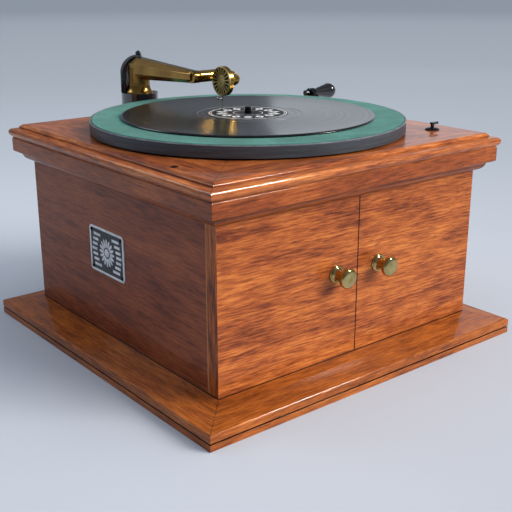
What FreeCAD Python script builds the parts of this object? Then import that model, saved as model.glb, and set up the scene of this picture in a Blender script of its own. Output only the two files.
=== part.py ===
"""Table gramophone: wooden cabinet with an inside horn, spring motor, turntable, tone arm and crank.

Frame: origin at the middle of the underside, X to the right, Y to the back, Z up, millimetres.
"""
import FreeCAD
import Part
import Sketcher
import math
import os

os.makedirs("parts", exist_ok=True)
doc = FreeCAD.newDocument("Gramophone")
sheet = doc.addObject("Spreadsheet::Sheet", "Sizes")
V = FreeCAD.Vector
NODES = {}
rows = []
DOWN_X = FreeCAD.Rotation(V(0, 1, 0), 90)
DOWN_Y = FreeCAD.Rotation(V(1, 0, 0), -90)
UPRIGHT = FreeCAD.Rotation()
TO_FRONT = FreeCAD.Rotation(V(1, 0, 0), 90)
TURN = {"X": DOWN_X, "Y": DOWN_Y, "Z": UPRIGHT, "front": TO_FRONT}


class Size:
    """A length with its value and the sheet expression that gives it."""

    def __init__(self, value, text):
        self.value = value
        self.text = text

    def join(self, other, sign, value):
        return Size(value, "(%s %s %s)" % (self.text, sign, text_of(other)))

    def __add__(self, other):
        return self.join(other, "+", self.value + float(other))

    def __sub__(self, other):
        return self.join(other, "-", self.value - float(other))

    def __mul__(self, other):
        return self.join(other, "*", self.value * float(other))

    def __truediv__(self, other):
        return self.join(other, "/", self.value / float(other))

    def __neg__(self):
        return Size(-self.value, "(0 - %s)" % self.text)

    def __float__(self):
        return float(self.value)


def text_of(number):
    """Expression text of a size, or of a plain count or share."""
    return number.text if isinstance(number, Size) else repr(float(number))


def size(alias, value, meaning):
    """Writes one driving size into the sheet and returns it."""
    rows.append(alias)
    row = len(rows)
    sheet.set("A%d" % row, meaning)
    sheet.set("B%d" % row, str(value))
    sheet.setAlias("B%d" % row, alias)
    return Size(value, "Sizes." + alias)


def half(length):
    return length / 2


NONE = Size(0, "0")

# Cabinet
body_width = size("body_width", 315, "cabinet body, both ways")
base_thick = size("base_thick", 6.4, "base board")
plinth_out = size("plinth_out", 33.5, "plinth beyond the body")
plinth_edge = size("plinth_edge", 5.2, "upright edge of the plinth moulding")
plinth_round = size("plinth_round", 2.6, "rounded arris of the plinth")
plinth_ridge_in = size("plinth_ridge_in", 10.5, "ridge on the plinth slope, beyond the body")
plinth_ridge_up = size("plinth_ridge_up", 12.4, "ridge above the base board")
plinth_up = size("plinth_up", 16.1, "plinth moulding against the body")
groove = size("groove", 0.6, "small chamfer that makes the line between two boards")
floor_thick = size("floor_thick", 15.8, "floor board inside the plinth")
panel_thick = size("panel_thick", 12, "side and back panels")
door_thick = size("door_thick", 12.9, "doors")
door_gap = size("door_gap", 0.6, "gap round a door")
door_back_gap = size("door_back_gap", 0.9, "gap between a door and the side panel behind it")
body_high = size("body_high", 171.8, "side panels")
pin_radius = size("pin_radius", 2, "door hinge pins")
hinge_in = size("hinge_in", 3.6, "hinge pin from the front and from the side")
pin_into = size("pin_into", 7, "length of a hinge pin in the wood")
run_gap = size("run_gap", 0.05, "radial clearance of a turning fit")
# Cornice and deck
cornice_high = size("cornice_high", 23.4, "cornice moulding under the deck frame")
fascia_out = size("fascia_out", 14.1, "flat fascia beyond the body")
fascia_high = size("fascia_high", 13.4, "flat fascia")
fascia_step = size("fascia_step", 1, "slope under the fascia")
ovolo_radius = size("ovolo_radius", 7.9, "quarter round under the fascia")
ovolo_start = size("ovolo_start", 0.5, "fillet at the foot of the quarter round")
deck_thick = size("deck_thick", 13.7, "deck frame and motor board")
deck_out = size("deck_out", 5.9, "flat of the deck beyond the body")
deck_chamfer_out = size("deck_chamfer_out", 3.5, "sloped edge of the deck, across")
deck_chamfer_down = size("deck_chamfer_down", 2.6, "sloped edge of the deck, down")
quirk_down = size("quirk_down", 1.1, "small step under the sloped edge")
bead_out = size("bead_out", 17.4, "bead nose beyond the body")
bead_top_out = size("bead_top_out", 15.4, "top of the bead beyond the body")
bead_low_out = size("bead_low_out", 15.2, "underside of the bead beyond the body")
bead_high = size("bead_high", 8.6, "bead")
bead_middle = size("bead_middle", 5.4, "bead nose above the bead's underside")
bead_under = size("bead_under", 1.1, "underside slope of the bead")
board_half = size("board_half", 103, "half of the motor board opening")
# Front frame and horn
frame_stile = size("frame_stile", 32.5, "front frame beside the horn mouth")
frame_foot = size("frame_foot", 14.8, "front frame under the horn mouth")
frame_head = size("frame_head", 11.6, "front frame over the horn mouth")
frame_thick = size("frame_thick", 12, "front frame behind the doors")
horn_wall = size("horn_wall", 2, "horn sheet")
throat_wide = size("throat_wide", 24, "horn throat")
throat_up = size("throat_up", 78, "throat above the ground")
throat_land = size("throat_land", 2, "gap between the horn throat and the back panel's hole rim")
# Knobs and plate
knob_out = size("knob_out", 26.3, "knob from the middle of the front")
knob_up = size("knob_up", 102.4, "knob above the ground")
rosette_radius = size("rosette_radius", 8.3, "knob rosette")
rosette_thick = size("rosette_thick", 2.2, "knob rosette")
knob_neck = size("knob_neck", 4.6, "knob neck radius")
knob_radius = size("knob_radius", 9.2, "knob head")
knob_long = size("knob_long", 18.2, "knob from the door")
knob_head = size("knob_head", 5.6, "thickness of the knob head")
knob_face = size("knob_face", 7, "flat face of the knob head")
knob_spigot = size("knob_spigot", 2.5, "knob spigot radius")
knob_hold = size("knob_hold", 8, "knob spigot in the door")
plate_wide = size("plate_wide", 61.5, "plate on the left side")
plate_high = size("plate_high", 45, "plate on the left side")
plate_thick = size("plate_thick", 1.2, "plate on the left side")
plate_round = size("plate_round", 4, "plate corners")
plate_back = size("plate_back", 14, "middle of the plate behind the middle of the side")
plate_up = size("plate_up", 105.7, "middle of the plate above the ground")
tack_radius = size("tack_radius", 1.5, "plate pin heads")
tack_thick = size("tack_thick", 0.9, "plate pin heads")
tack_in = size("tack_in", 4.2, "plate pins from the plate's edges")
screw_radius = size("screw_radius", 3.4, "deck screw heads")
screw_deep = size("screw_deep", 9, "deck screws")
screw_in = size("screw_in", 0.5, "deck screws inside the body's sides")
screw_along = size("screw_along", 55.9, "deck screws from the body's front and back")
# Turntable
deck_gap = size("deck_gap", 1.7, "platter rim above the deck")
deck_margin = size("deck_margin", 2.5, "body beyond the platter")
platter_high = size("platter_high", 10.7, "platter rim")
platter_wall = size("platter_wall", 2.5, "platter sheet")
rim_round = size("rim_round", 1.6, "rounded platter rim")
hub_radius = size("hub_radius", 14, "platter hub")
felt_in = size("felt_in", 2, "felt inside the platter's edge")
felt_thick = size("felt_thick", 0.8, "felt")
record_radius = size("record_radius", 125, "ten inch record")
record_thick = size("record_thick", 2.2, "record")
label_radius = size("label_radius", 39.7, "record label")
label_thick = size("label_thick", 0.15, "record label")
spindle_radius = size("spindle_radius", 3.6, "spindle")
tip_radius = size("tip_radius", 3.3, "spindle above the record")
spindle_above = size("spindle_above", 6.1, "spindle above the record")
spindle_round = size("spindle_round", 1.2, "rounded spindle end")
# Motor
bed_thick = size("bed_thick", 4, "motor bedplate")
bed_left = size("bed_left", 40, "bedplate left of the spindle")
bed_right = size("bed_right", 112, "bedplate right of the spindle")
bed_front = size("bed_front", 52, "bedplate in front of the spindle")
bed_back = size("bed_back", 88, "bedplate behind the spindle")
motor_high = size("motor_high", 74, "space between the motor plates")
lower_thick = size("lower_thick", 3, "lower motor plate")
pillar_radius = size("pillar_radius", 4.5, "motor pillars")
pillar_in = size("pillar_in", 9, "motor pillars from the plate edges")
bolt_radius = size("bolt_radius", 2.5, "motor bolts")
bolt_head = size("bolt_head", 5, "motor bolt heads")
bolt_head_thick = size("bolt_head_thick", 3, "motor bolt heads")
fine_module = size("fine_module", 1, "gear module of the fine wheels")
coarse_module = size("coarse_module", 1.25, "gear module of the great wheel and worm wheel")
tooth_share = size("tooth_share", 0.38, "share of the pitch that a tooth fills")
addendum_share = size("addendum_share", 0.8, "tooth above the pitch line, in modules")
dedendum_share = size("dedendum_share", 1.15, "tooth below the pitch line, in modules")
arbor_radius = size("arbor_radius", 3, "intermediate arbor")
barrel_side = size("barrel_side", 62, "barrel right of the spindle")
barrel_back = size("barrel_back", 32.5, "barrel and crank behind the spindle")
barrel_radius = size("barrel_radius", 41, "barrel drum")
barrel_high = size("barrel_high", 22, "barrel drum above the great wheel")
barrel_wall = size("barrel_wall", 2, "barrel sheet")
great_thick = size("great_thick", 4, "great wheel")
wheel_thick = size("wheel_thick", 3, "intermediate wheel")
pinion_long = size("pinion_long", 8, "pinions")
barrel_arbor_radius = size("barrel_arbor_radius", 5, "barrel arbor")
spring_thick = size("spring_thick", 0.9, "mainspring strip")
spring_gap = size("spring_gap", 0.5, "mainspring clear of the drum")
spring_inner = size("spring_inner", 9, "innermost coil of the mainspring")
shaft_radius = size("shaft_radius", 4, "crank shaft")
contrate_rim = size("contrate_rim", 5, "face of the winding wheel's teeth")
contrate_thick = size("contrate_thick", 3, "winding wheel")
contrate_gap = size("contrate_gap", 0.35, "winding wheel under the great wheel")
contrate_face = size("contrate_face", 3, "winding wheel's teeth, along the radius")
contrate_share = size("contrate_share", 0.24, "share of the pitch that a winding wheel's tooth fills")
worm_radius = size("worm_radius", 4, "worm pitch radius")
worm_long = size("worm_long", 15, "worm")
governor_radius = size("governor_radius", 2, "governor shaft")
governor_over = size("governor_over", 20, "governor axis above the lower plate")
governor_end = size("governor_end", 92, "end of the governor shaft right of the spindle")
governor_start = size("governor_start", 17, "start of the governor shaft left of the spindle")
collar_radius = size("collar_radius", 8, "governor collars")
collar_thick = size("collar_thick", 5, "governor collars")
collar_side = size("collar_side", 15, "fixed collar right of the spindle")
disc_side = size("disc_side", 58, "friction disc right of the spindle")
disc_radius = size("disc_radius", 15, "friction disc")
disc_thick = size("disc_thick", 2.5, "friction disc")
leaf_thick = size("leaf_thick", 0.5, "governor leaf springs")
leaf_wide = size("leaf_wide", 4, "governor leaf springs")
weight_radius = size("weight_radius", 4, "governor weights")
weight_high = size("weight_high", 5, "governor weights")
bearing_wide = size("bearing_wide", 12, "governor bearings")
bearing_thick = size("bearing_thick", 6, "governor bearings")
bearing_over = size("bearing_over", 4, "governor bearing above its shaft")
# Crank
bush_radius = size("bush_radius", 13, "crank bush flange")
bush_thick = size("bush_thick", 2.5, "crank bush flange")
bush_tube = size("bush_tube", 7, "crank bush tube")
crank_arm_out = size("crank_arm_out", 35.5, "near face of the crank arm beyond the body")
crank_arm_thick = size("crank_arm_thick", 4.5, "crank arm")
crank_arm_radius = size("crank_arm_radius", 5.5, "rounded ends of the crank arm")
crank_reach = size("crank_reach", 110, "crank arm between its axes")
crank_lean = size("crank_lean", 35.2, "crank arm above level, degrees")
grip_pin = size("grip_pin", 2.5, "grip pin")
grip_start = size("grip_start", 3.2, "gap between arm and grip")
grip_neck = size("grip_neck", 4.3, "grip neck radius")
grip_radius = size("grip_radius", 9.2, "fattest part of the grip")
grip_long = size("grip_long", 34, "grip")
grip_fat = size("grip_fat", 23, "fattest part of the grip from its neck")
pin_head = size("pin_head", 3.6, "head of the grip pin behind the arm")
pin_head_thick = size("pin_head_thick", 6, "head of the grip pin behind the arm")
# Rear bracket and tone arm
pivot_out = size("pivot_out", 43.5, "tone arm pivot behind the body")
cup_radius = size("cup_radius", 21, "cup that carries the tone arm")
cup_top = size("cup_top", 222.6, "cup above the ground")
cup_high = size("cup_high", 20, "cup")
seat_radius = size("seat_radius", 17, "seat of the tone arm foot")
seat_deep = size("seat_deep", 7, "seat of the tone arm foot")
pipe_radius = size("pipe_radius", 13, "bracket pipe")
bore_radius = size("bore_radius", 9, "sound passage")
flange_wide = size("flange_wide", 70, "bracket flange")
flange_high = size("flange_high", 76, "bracket flange")
flange_thick = size("flange_thick", 5, "bracket flange")
flange_screw_in = size("flange_screw_in", 9, "bracket screws from the flange edges")
strap_thick = size("strap_thick", 2.2, "strap over the tone arm")
strap_straight = size("strap_straight", 20.5, "upright part of the strap above the cup")
strap_top = size("strap_top", 42.1, "top of the strap above the cup")
strap_mid_in = size("strap_mid_in", 15.6, "middle of the strap's curve from the pivot")
strap_mid_up = size("strap_mid_up", 33.6, "middle of the strap's curve above the cup")
strap_half_turn = size("strap_half_turn", 56, "half of the strap's sweep, degrees")
strap_eye = size("strap_eye", 4, "eye of the strap on the pivot axis")
ball_radius = size("ball_radius", 3.2, "ball head of the pivot screw")
pivot_radius = size("pivot_radius", 1.6, "pivot screw")
foot_radius = size("foot_radius", 15.3, "flared foot of the tone arm")
neck_radius = size("neck_radius", 12.2, "neck of the tone arm")
neck_start = size("neck_start", 8.5, "narrow part of the neck above the cup")
arm_up = size("arm_up", 250, "tone arm axis above the ground")
arm_wide = size("arm_wide", 21, "tone arm at the pivot")
arm_high = size("arm_high", 24, "tone arm at the pivot")
arm_end = size("arm_end", 12.6, "tone arm at its front end, both ways")
arm_rear = size("arm_rear", 5.5, "tone arm behind the pivot")
arm_flat_share = size("arm_flat_share", 0.46, "share of the arm's section that is flat")
arm_front = size("arm_front", 90, "front end of the tone arm behind the spindle")
arm_chamfer = size("arm_chamfer", 8.5, "sloped rear corner of the tone arm")
leg_deep = size("leg_deep", 9, "flat leg behind the neck")
socket_radius = size("socket_radius", 6.5, "socket at the arm's front end")
socket_half = size("socket_half", 4.6, "half length of the socket")
slot_wide = size("slot_wide", 1.2, "slot in the socket's cap")
slot_deep = size("slot_deep", 0.8, "slot in the socket's cap")
stub_radius = size("stub_radius", 4.6, "gooseneck stub in the socket")
stub_cap = size("stub_cap", 1.6, "closed end of the socket")
tube_radius = size("tube_radius", 6.2, "gooseneck tube")
tube_bore = size("tube_bore", 3.4, "gooseneck passage")
bend_side = size("bend_side", 26.4, "start of the bend right of the spindle")
bend_radius = size("bend_radius", 13, "gooseneck bend")
droop = size("droop", 7.3, "gooseneck below level, degrees")
box_radius = size("box_radius", 15.3, "soundbox")
box_face = size("box_face", 14.7, "soundbox face right of the spindle")
box_back = size("box_back", 20.9, "soundbox back right of the spindle")
grille_thick = size("grille_thick", 1.8, "soundbox grille")
box_wall = size("box_wall", 1.5, "soundbox back and rim")
grille_rim = size("grille_rim", 13.2, "slotted part of the grille")
grille_hub = size("grille_hub", 3.6, "hub of the grille")
slot_share = size("slot_share", 0.55, "share of the grille that is slot")
diaphragm_thick = size("diaphragm_thick", 0.4, "diaphragm")
diaphragm_at = size("diaphragm_at", 1.1, "diaphragm behind the grille")
chuck_radius = size("chuck_radius", 2, "needle holder")
chuck_long = size("chuck_long", 4.6, "needle holder below the soundbox")
needle_radius = size("needle_radius", 0.7, "needle")
needle_out = size("needle_out", 3.8, "needle below its holder")
needle_in = size("needle_in", 3, "needle in its holder")
thumb_radius = size("thumb_radius", 1.9, "needle screw head")
thumb_stem = size("thumb_stem", 0.9, "needle screw stem")
thumb_out = size("thumb_out", 1.2, "needle screw head in front of the holder")
# Speed lever
speed_in = size("speed_in", 20.5, "speed lever inside the body's right side")
speed_behind = size("speed_behind", 37.5, "speed lever behind the body's front")
speed_plate = size("speed_plate", 7, "speed plate radius")
speed_plate_thick = size("speed_plate_thick", 2.2, "speed plate")
speed_stem = size("speed_stem", 1.8, "speed stem")
speed_over = size("speed_over", 5, "speed lever above its plate")
speed_tip = size("speed_tip", 6.2, "length of the speed lever")
speed_tip_thick = size("speed_tip_thick", 1.8, "thickness of the speed lever")
speed_tip_wide = size("speed_tip_wide", 3.6, "width of the speed lever")
pad_gap = size("pad_gap", 0.6, "brake pad from the friction disc")
pad_size = size("pad_size", 4.5, "brake pad")
pad_drop = size("pad_drop", 11, "brake pad in front of the governor axis")
brake_side = size("brake_side", 80, "brake lever pivot right of the spindle")
brake_front = size("brake_front", 48, "brake lever pivot in front of the spindle")
brake_over = size("brake_over", 6, "brake lever above the governor axis")
brake_thick = size("brake_thick", 3, "brake lever")
brake_boss = size("brake_boss", 6, "boss of the brake lever")
brake_pin = size("brake_pin", 2.5, "brake lever pin")
finger_short = size("finger_short", 7.5, "end of the brake lever left of the speed lever")
finger_behind = size("finger_behind", 3, "end of the brake lever behind the speed lever")
cam_radius = size("cam_radius", 3, "cam on the speed stem")
cam_off = size("cam_off", 0.9, "cam off the stem's axis")
lip_thick = size("lip_thick", 4, "lip of the deck frame under the motor board")
lip_wide = size("lip_wide", 10, "lip of the deck frame under the motor board")
pad_radius = size("pad_radius", 8, "rubber pads on the motor bolts")
end_play = size("end_play", 1.5, "end play of the motor's wheels")
wheel_space = size("wheel_space", 8, "intermediate wheel above the governor axis")

# Counts
teeth_counts = {
    "spindle": 15, "wheel": 60, "pinion": 14, "great": 72, "worm_wheel": 24, "winder": 16, "contrate": 40}
# Shares of other sizes: each horn station's distance, drop, width and height come first
horn_shares = [(0.4, 0.25, 2.6, 1.8), (-0.14, 0.4, 5, 2.4), (-0.5, 0.1, 7.6, 3.4)]
round_share = 0.2929
diagonal_share = math.sqrt(0.5)
worm_wheel_share = 0.7
washer_share = 1.8
thread_root_share = 0.9
grip_pin_share = 0.8
grip_bore_share = 0.85
grip_waist_share = 0.47
grip_lip_share = 0.4
foot_out_share = 0.3
foot_up_share = 0.55
needle_shank_share = 0.4
needle_tip_share = 0.15
speed_face_share = 0.6
brake_wide_share = 0.8
worm_starts = 2
grille_slots = 20
spring_turns = 6

# Levels and places that follow from the sizes
half_body = half(body_width)
platter_radius = half_body - deck_margin
felt_radius = platter_radius - felt_in
mouth_wide = (half_body - frame_stile) * 2
screw_side = half_body - screw_in
screw_front = half_body - screw_along
crank_arm_in = half_body + crank_arm_out
pivot_back = half_body + pivot_out
speed_side = half_body - speed_in
speed_front = half_body - speed_behind
finger_side = speed_side - finger_short
finger_front = speed_front - finger_behind
floor_top = base_thick + floor_thick
body_top = floor_top + body_high
deck_top = body_top + deck_thick
door_low = floor_top + door_gap
door_high = body_high - cornice_high - door_gap * 2
door_top = door_low + door_high
head_low = door_top + door_gap
mouth_high = head_low - floor_top - frame_foot - frame_head
mouth_up = floor_top + frame_foot + half(mouth_high)
front_edge = -(half_body - door_thick - door_back_gap)
inner_half = half_body - panel_thick
hinge_side = half_body - hinge_in
platter_low = deck_top + deck_gap
platter_top = platter_low + platter_high
felt_top = platter_top + felt_thick
record_top = felt_top + record_thick
label_top = record_top + label_thick
spindle_top = record_top + spindle_above
board_low = body_top + lip_thick
bed_low = body_top - bed_thick
lower_top = bed_low - motor_high
lower_low = lower_top - lower_thick
governor_up = lower_top + governor_over
brake_up = governor_up + brake_over


def pitch_radius(name, module):
    return module * teeth_counts[name] / 2


worm_wheel_radius = pitch_radius("worm_wheel", coarse_module)
governor_y = -(worm_wheel_radius + worm_radius)
barrel_low = bed_low - end_play - barrel_high
great_low = barrel_low - great_thick
winder_radius = pitch_radius("winder", fine_module)
contrate_radius = pitch_radius("contrate", fine_module)
contrate_pitch = great_low - contrate_gap - contrate_thick - fine_module * dedendum_share
crank_up = contrate_pitch - winder_radius
wheel_low = governor_up + wheel_space
side_a = float(pitch_radius("spindle", fine_module) + pitch_radius("wheel", fine_module))
side_b = float(pitch_radius("pinion", coarse_module) + pitch_radius("great", coarse_module))
side_c = math.hypot(float(barrel_side), float(barrel_back))
along = (side_a ** 2 - side_b ** 2 + side_c ** 2) / (2 * side_c)
across = math.sqrt(side_a ** 2 - along ** 2)
toward = (float(barrel_side) / side_c, float(barrel_back) / side_c)
middle_x = along * toward[0] - across * toward[1]
middle_y = along * toward[1] + across * toward[0]


def bind(obj, name, value):
    """Sets a property and ties it to the sheet."""
    setattr(obj, name, float(value))
    if isinstance(value, Size):
        obj.setExpression(name, value.text)


def place(obj, at, turn=UPRIGHT):
    """Puts an object where three sizes say."""
    obj.Placement = FreeCAD.Placement(V(*[float(c) for c in at]), turn)
    for axis, value in zip("xyz", at):
        if isinstance(value, Size):
            obj.setExpression("Placement.Base." + axis, value.text)
    return obj


def box(x, y, z):
    """A board between pairs of sizes."""
    obj = doc.addObject("Part::Box", "Board")
    bind(obj, "Length", x[1] - x[0])
    bind(obj, "Width", y[1] - y[0])
    bind(obj, "Height", z[1] - z[0])
    return place(obj, (x[0], y[0], z[0]))


def rod(axis, radius, at, length):
    """A cylinder that starts at a point and runs along an axis."""
    obj = doc.addObject("Part::Cylinder", "Rod")
    bind(obj, "Radius", radius)
    bind(obj, "Height", length)
    return place(obj, at, TURN[axis])


def ball(radius, at):
    obj = doc.addObject("Part::Sphere", "Ball")
    bind(obj, "Radius", radius)
    return place(obj, at)


def cut(base, tools):
    for tool in tools:
        obj = doc.addObject("Part::Cut", "Cut")
        obj.Base = base
        obj.Tool = tool
        base = obj
    return base


def fuse(pieces):
    obj = doc.addObject("Part::MultiFuse", "Joined")
    obj.Shapes = pieces
    obj.Refine = True
    return obj


def common(first, second):
    obj = doc.addObject("Part::MultiCommon", "Shared")
    obj.Shapes = [first, second]
    return obj


def group(pieces):
    obj = doc.addObject("Part::Compound", "Group")
    obj.Links = pieces
    return obj


def made(shape):
    """A shape that Part's own functions built from sheet sizes."""
    obj = doc.addObject("Part::Feature", "Made")
    obj.Shape = shape
    return obj


def node(name, obj):
    obj.Label = name
    NODES[name] = obj
    return obj


def plane_of(body, role):
    return [f for f in body.Origin.OriginFeatures if f.Role == role][0]


def arc_through(start, middle, end):
    """An arc through three points that runs anticlockwise, as sketches keep it."""
    circle = Part.Circle(start, middle, end)
    centre = circle.Center
    turn = (middle - start).cross(end - middle).z
    first, last = (start, end) if turn > 0 else (end, start)
    angles = [math.atan2(p.y - centre.y, p.x - centre.x) for p in (first, last)]
    if angles[1] < angles[0]:
        angles[1] += 2 * math.pi
    return Part.ArcOfCircle(Part.Circle(centre, V(0, 0, 1), circle.Radius), angles[0], angles[1])


def outline(body, role, points, offset=None):
    """A closed sketch: each entry is a corner, or a pair of a point on an arc and the corner that ends it."""
    sketch = body.newObject("Sketcher::SketchObject", "Outline")
    sketch.AttachmentSupport = [(plane_of(body, role), "")]
    sketch.MapMode = "FlatFace"
    if offset is not None:
        sketch.AttachmentOffset = FreeCAD.Placement(V(0, 0, float(offset)), UPRIGHT)
        sketch.setExpression("AttachmentOffset.Base.z", text_of(offset))
    corners = [p[1] if isinstance(p[0], tuple) else p for p in points]
    flat = [V(float(u), float(v), 0) for u, v in corners]
    for i, entry in enumerate(points):
        start = flat[i - 1]
        if isinstance(entry[0], tuple):
            middle = V(float(entry[0][0]), float(entry[0][1]), 0)
            sketch.addGeometry(arc_through(start, middle, flat[i]), False)
        else:
            sketch.addGeometry(Part.LineSegment(start, flat[i]), False)
    count = len(points)
    for i, entry in enumerate(points):
        edge = sketch.Geometry[i]
        arc = isinstance(entry[0], tuple)
        swap = arc and edge.StartPoint.distanceToPoint(flat[i]) < edge.EndPoint.distanceToPoint(flat[i])
        end = 1 if swap else 2
        tie(sketch, i, end, corners[i])
        later = (i + 1) % count
        follow = sketch.Geometry[later]
        first = follow.StartPoint.distanceToPoint(flat[i]) <= follow.EndPoint.distanceToPoint(flat[i])
        sketch.addConstraint(Sketcher.Constraint("Coincident", i, end, later, 1 if first else 2))
        if arc:
            mark = sketch.addGeometry(Part.Point(V(float(entry[0][0]), float(entry[0][1]), 0)), True)
            tie(sketch, mark, 1, entry[0])
            sketch.addConstraint(Sketcher.Constraint("PointOnObject", mark, 1, i))
    return sketch


def tie(sketch, geometry, end, at):
    """Fixes a point of a sketch at two sheet sizes."""
    for kind, value in zip(("DistanceX", "DistanceY"), at):
        index = sketch.addConstraint(Sketcher.Constraint(kind, -1, 1, geometry, end, float(value)))
        if isinstance(value, Size) and value is not NONE:
            sketch.setExpression("Constraints[%d]" % index, value.text)


def new_body():
    body = doc.addObject("PartDesign::Body", "Piece")
    body.AllowCompound = True
    return body


def prism(role, points, low, length):
    """A pad of an outline that starts at a level along the plane's normal."""
    body = new_body()
    sketch = outline(body, role, points, low)
    pad = body.newObject("PartDesign::Pad", "Pad")
    pad.Profile = sketch
    bind(pad, "Length", length)
    body.Tip = pad
    return body


def turned(points, at=(NONE, NONE, NONE), axis="Z", sweep=None):
    """A turned piece: outline of radius and height, revolved about the height axis."""
    body = new_body()
    sketch = outline(body, "XZ_Plane", points)
    spin = body.newObject("PartDesign::Revolution", "Spin")
    spin.Profile = sketch
    spin.ReferenceAxis = (sketch, ["V_Axis"])
    spin.Angle = 360.0
    if sweep is not None:
        bind(spin, "Angle", sweep)
        spin.Midplane = True
    body.Tip = spin
    return place(body, at, TURN[axis])


def lofted(kind, body, sketches):
    loft = body.newObject(kind, "Loft")
    loft.Profile = sketches[0]
    loft.Sections = sketches[1:]
    loft.Ruled = True
    body.Tip = loft
    return loft


def rectangle(middle_u, middle_v, wide, high):
    left = middle_u - half(wide)
    right = middle_u + half(wide)
    low = middle_v - half(high)
    top = middle_v + half(high)
    return [(left, low), (right, low), (right, top), (left, top)]


def four_sides(piece):
    """The same mitred piece on all four sides of the square cabinet."""
    doc.recompute()
    copies = [piece]
    for turn in (90, 180, 270):
        copy = made(piece.Shape.copy())
        copy.Placement = FreeCAD.Placement(V(0, 0, 0), FreeCAD.Rotation(V(0, 0, 1), turn))
        copies.append(copy)
    return group(copies)


def mitred(profile, inner, outer, low, top):
    """A moulding along the front with mitred ends; profile holds pairs of overhang and level."""
    points = []
    for entry in profile:
        if isinstance(entry[0], tuple):
            points.append(tuple((-(half_body + o), z) for o, z in entry))
        else:
            points.append((-(half_body + entry[0]), entry[1]))
    near = half_body - inner
    far = half_body + outer
    long = prism("YZ_Plane", points, -far, far + far)
    ends = [(-near, -near), (-far, -far), (far, -far), (near, -near)]
    wedge = prism("XY_Plane", ends, low, top - low)
    return four_sides(common(long, wedge))


def gear(teeth, module, low, thick, bore, twist=0.0, phase=0.0):
    """A straight sided gear; twist turns its upper face for a worm wheel, in radians."""
    radius = float(module) * teeth / 2
    top = radius + float(module) * float(addendum_share)
    root = radius - float(module) * float(dedendum_share)
    step = 2 * math.pi / teeth
    wide = step * float(tooth_share) / 2
    flank = math.tan(math.radians(20)) / radius
    levels = []
    for level, turn in ((float(low), 0.0), (float(low) + float(thick), twist)):
        points = []
        for i in range(teeth):
            middle = i * step + turn - twist / 2 + phase
            for r, side in ((root, -1), (top, -1), (top, 1), (root, 1)):
                angle = middle + side * (wide - (r - radius) * flank)
                points.append(V(r * math.cos(angle), r * math.sin(angle), level))
        points.append(points[0])
        levels.append(Part.makePolygon(points))
    if twist:
        solid = Part.makeLoft(levels, True, True)
    else:
        solid = Part.Face(levels[0]).extrude(V(0, 0, float(thick)))
    if float(bore):
        solid = solid.cut(Part.makeCylinder(float(bore), float(thick), V(0, 0, float(low))))
    return solid


# Base, floor and plinth
edge_half = half_body + plinth_out
slab = [(-edge_half, -edge_half), (edge_half, -edge_half), (edge_half, edge_half), (-edge_half, edge_half)]
slab_body = prism("XY_Plane", slab, NONE, base_thick - groove)
lip_half = edge_half - groove
lip = [(-lip_half, -lip_half), (lip_half, -lip_half), (lip_half, lip_half), (-lip_half, lip_half)]
bevel = new_body()
lofted("PartDesign::AdditiveLoft", bevel, [
    outline(bevel, "XY_Plane", slab, base_thick - groove), outline(bevel, "XY_Plane", lip, base_thick)])
base = fuse([slab_body, bevel])
node("base_board", base)
hinge_places = [(-hinge_side, -hinge_side), (hinge_side, -hinge_side)]
floor = box((-half_body, half_body), (-half_body, half_body), (base_thick, floor_top))
floor_holes = [rod("Z", pin_radius, (x, y, floor_top - pin_into), pin_into) for x, y in hinge_places]
node("floor_board", cut(floor, floor_holes))
edge_top = base_thick + groove + plinth_edge
moulding = [
    (NONE, base_thick), (plinth_out - groove, base_thick), (plinth_out, base_thick + groove),
    (plinth_out, edge_top),
    ((plinth_out - plinth_round * round_share, edge_top + plinth_round * (1 - round_share)),
     (plinth_out - plinth_round, edge_top + plinth_round)),
    (plinth_ridge_in, base_thick + plinth_ridge_up), (NONE, base_thick + plinth_up)]
node("plinth_moulding", mitred(moulding, NONE, plinth_out, base_thick, floor_top + base_thick))

# Panels
left_panel = box((-half_body, -inner_half), (front_edge, half_body), (floor_top, body_top))
node("left_side_panel", left_panel)
right_panel = box((inner_half, half_body), (front_edge, half_body), (floor_top, body_top))
bush_hole = rod("X", bush_tube, (inner_half, barrel_back, crank_up), panel_thick)
node("right_side_panel", cut(right_panel, [bush_hole]))
rear = box((-inner_half, inner_half), (inner_half, half_body), (floor_top, body_top))
rear_hole = rod("Y", pipe_radius, (NONE, inner_half, throat_up), panel_thick)
node("back_panel", cut(rear, [rear_hole]))
frame_back = front_edge + frame_thick
frame = box((-inner_half, inner_half), (front_edge, frame_back), (floor_top, body_top))
mouth_low = mouth_up - half(mouth_high)
mouth = box((-half(mouth_wide), half(mouth_wide)), (front_edge, frame_back),
            (mouth_low, mouth_low + mouth_high))
node("front_frame", cut(frame, [mouth]))
head = box((-half_body, half_body), (-half_body, front_edge), (head_low, body_top))
head_holes = [rod("Z", pin_radius, (x, y, head_low), pin_into) for x, y in hinge_places]
node("front_head_rail", cut(head, head_holes))

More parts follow.
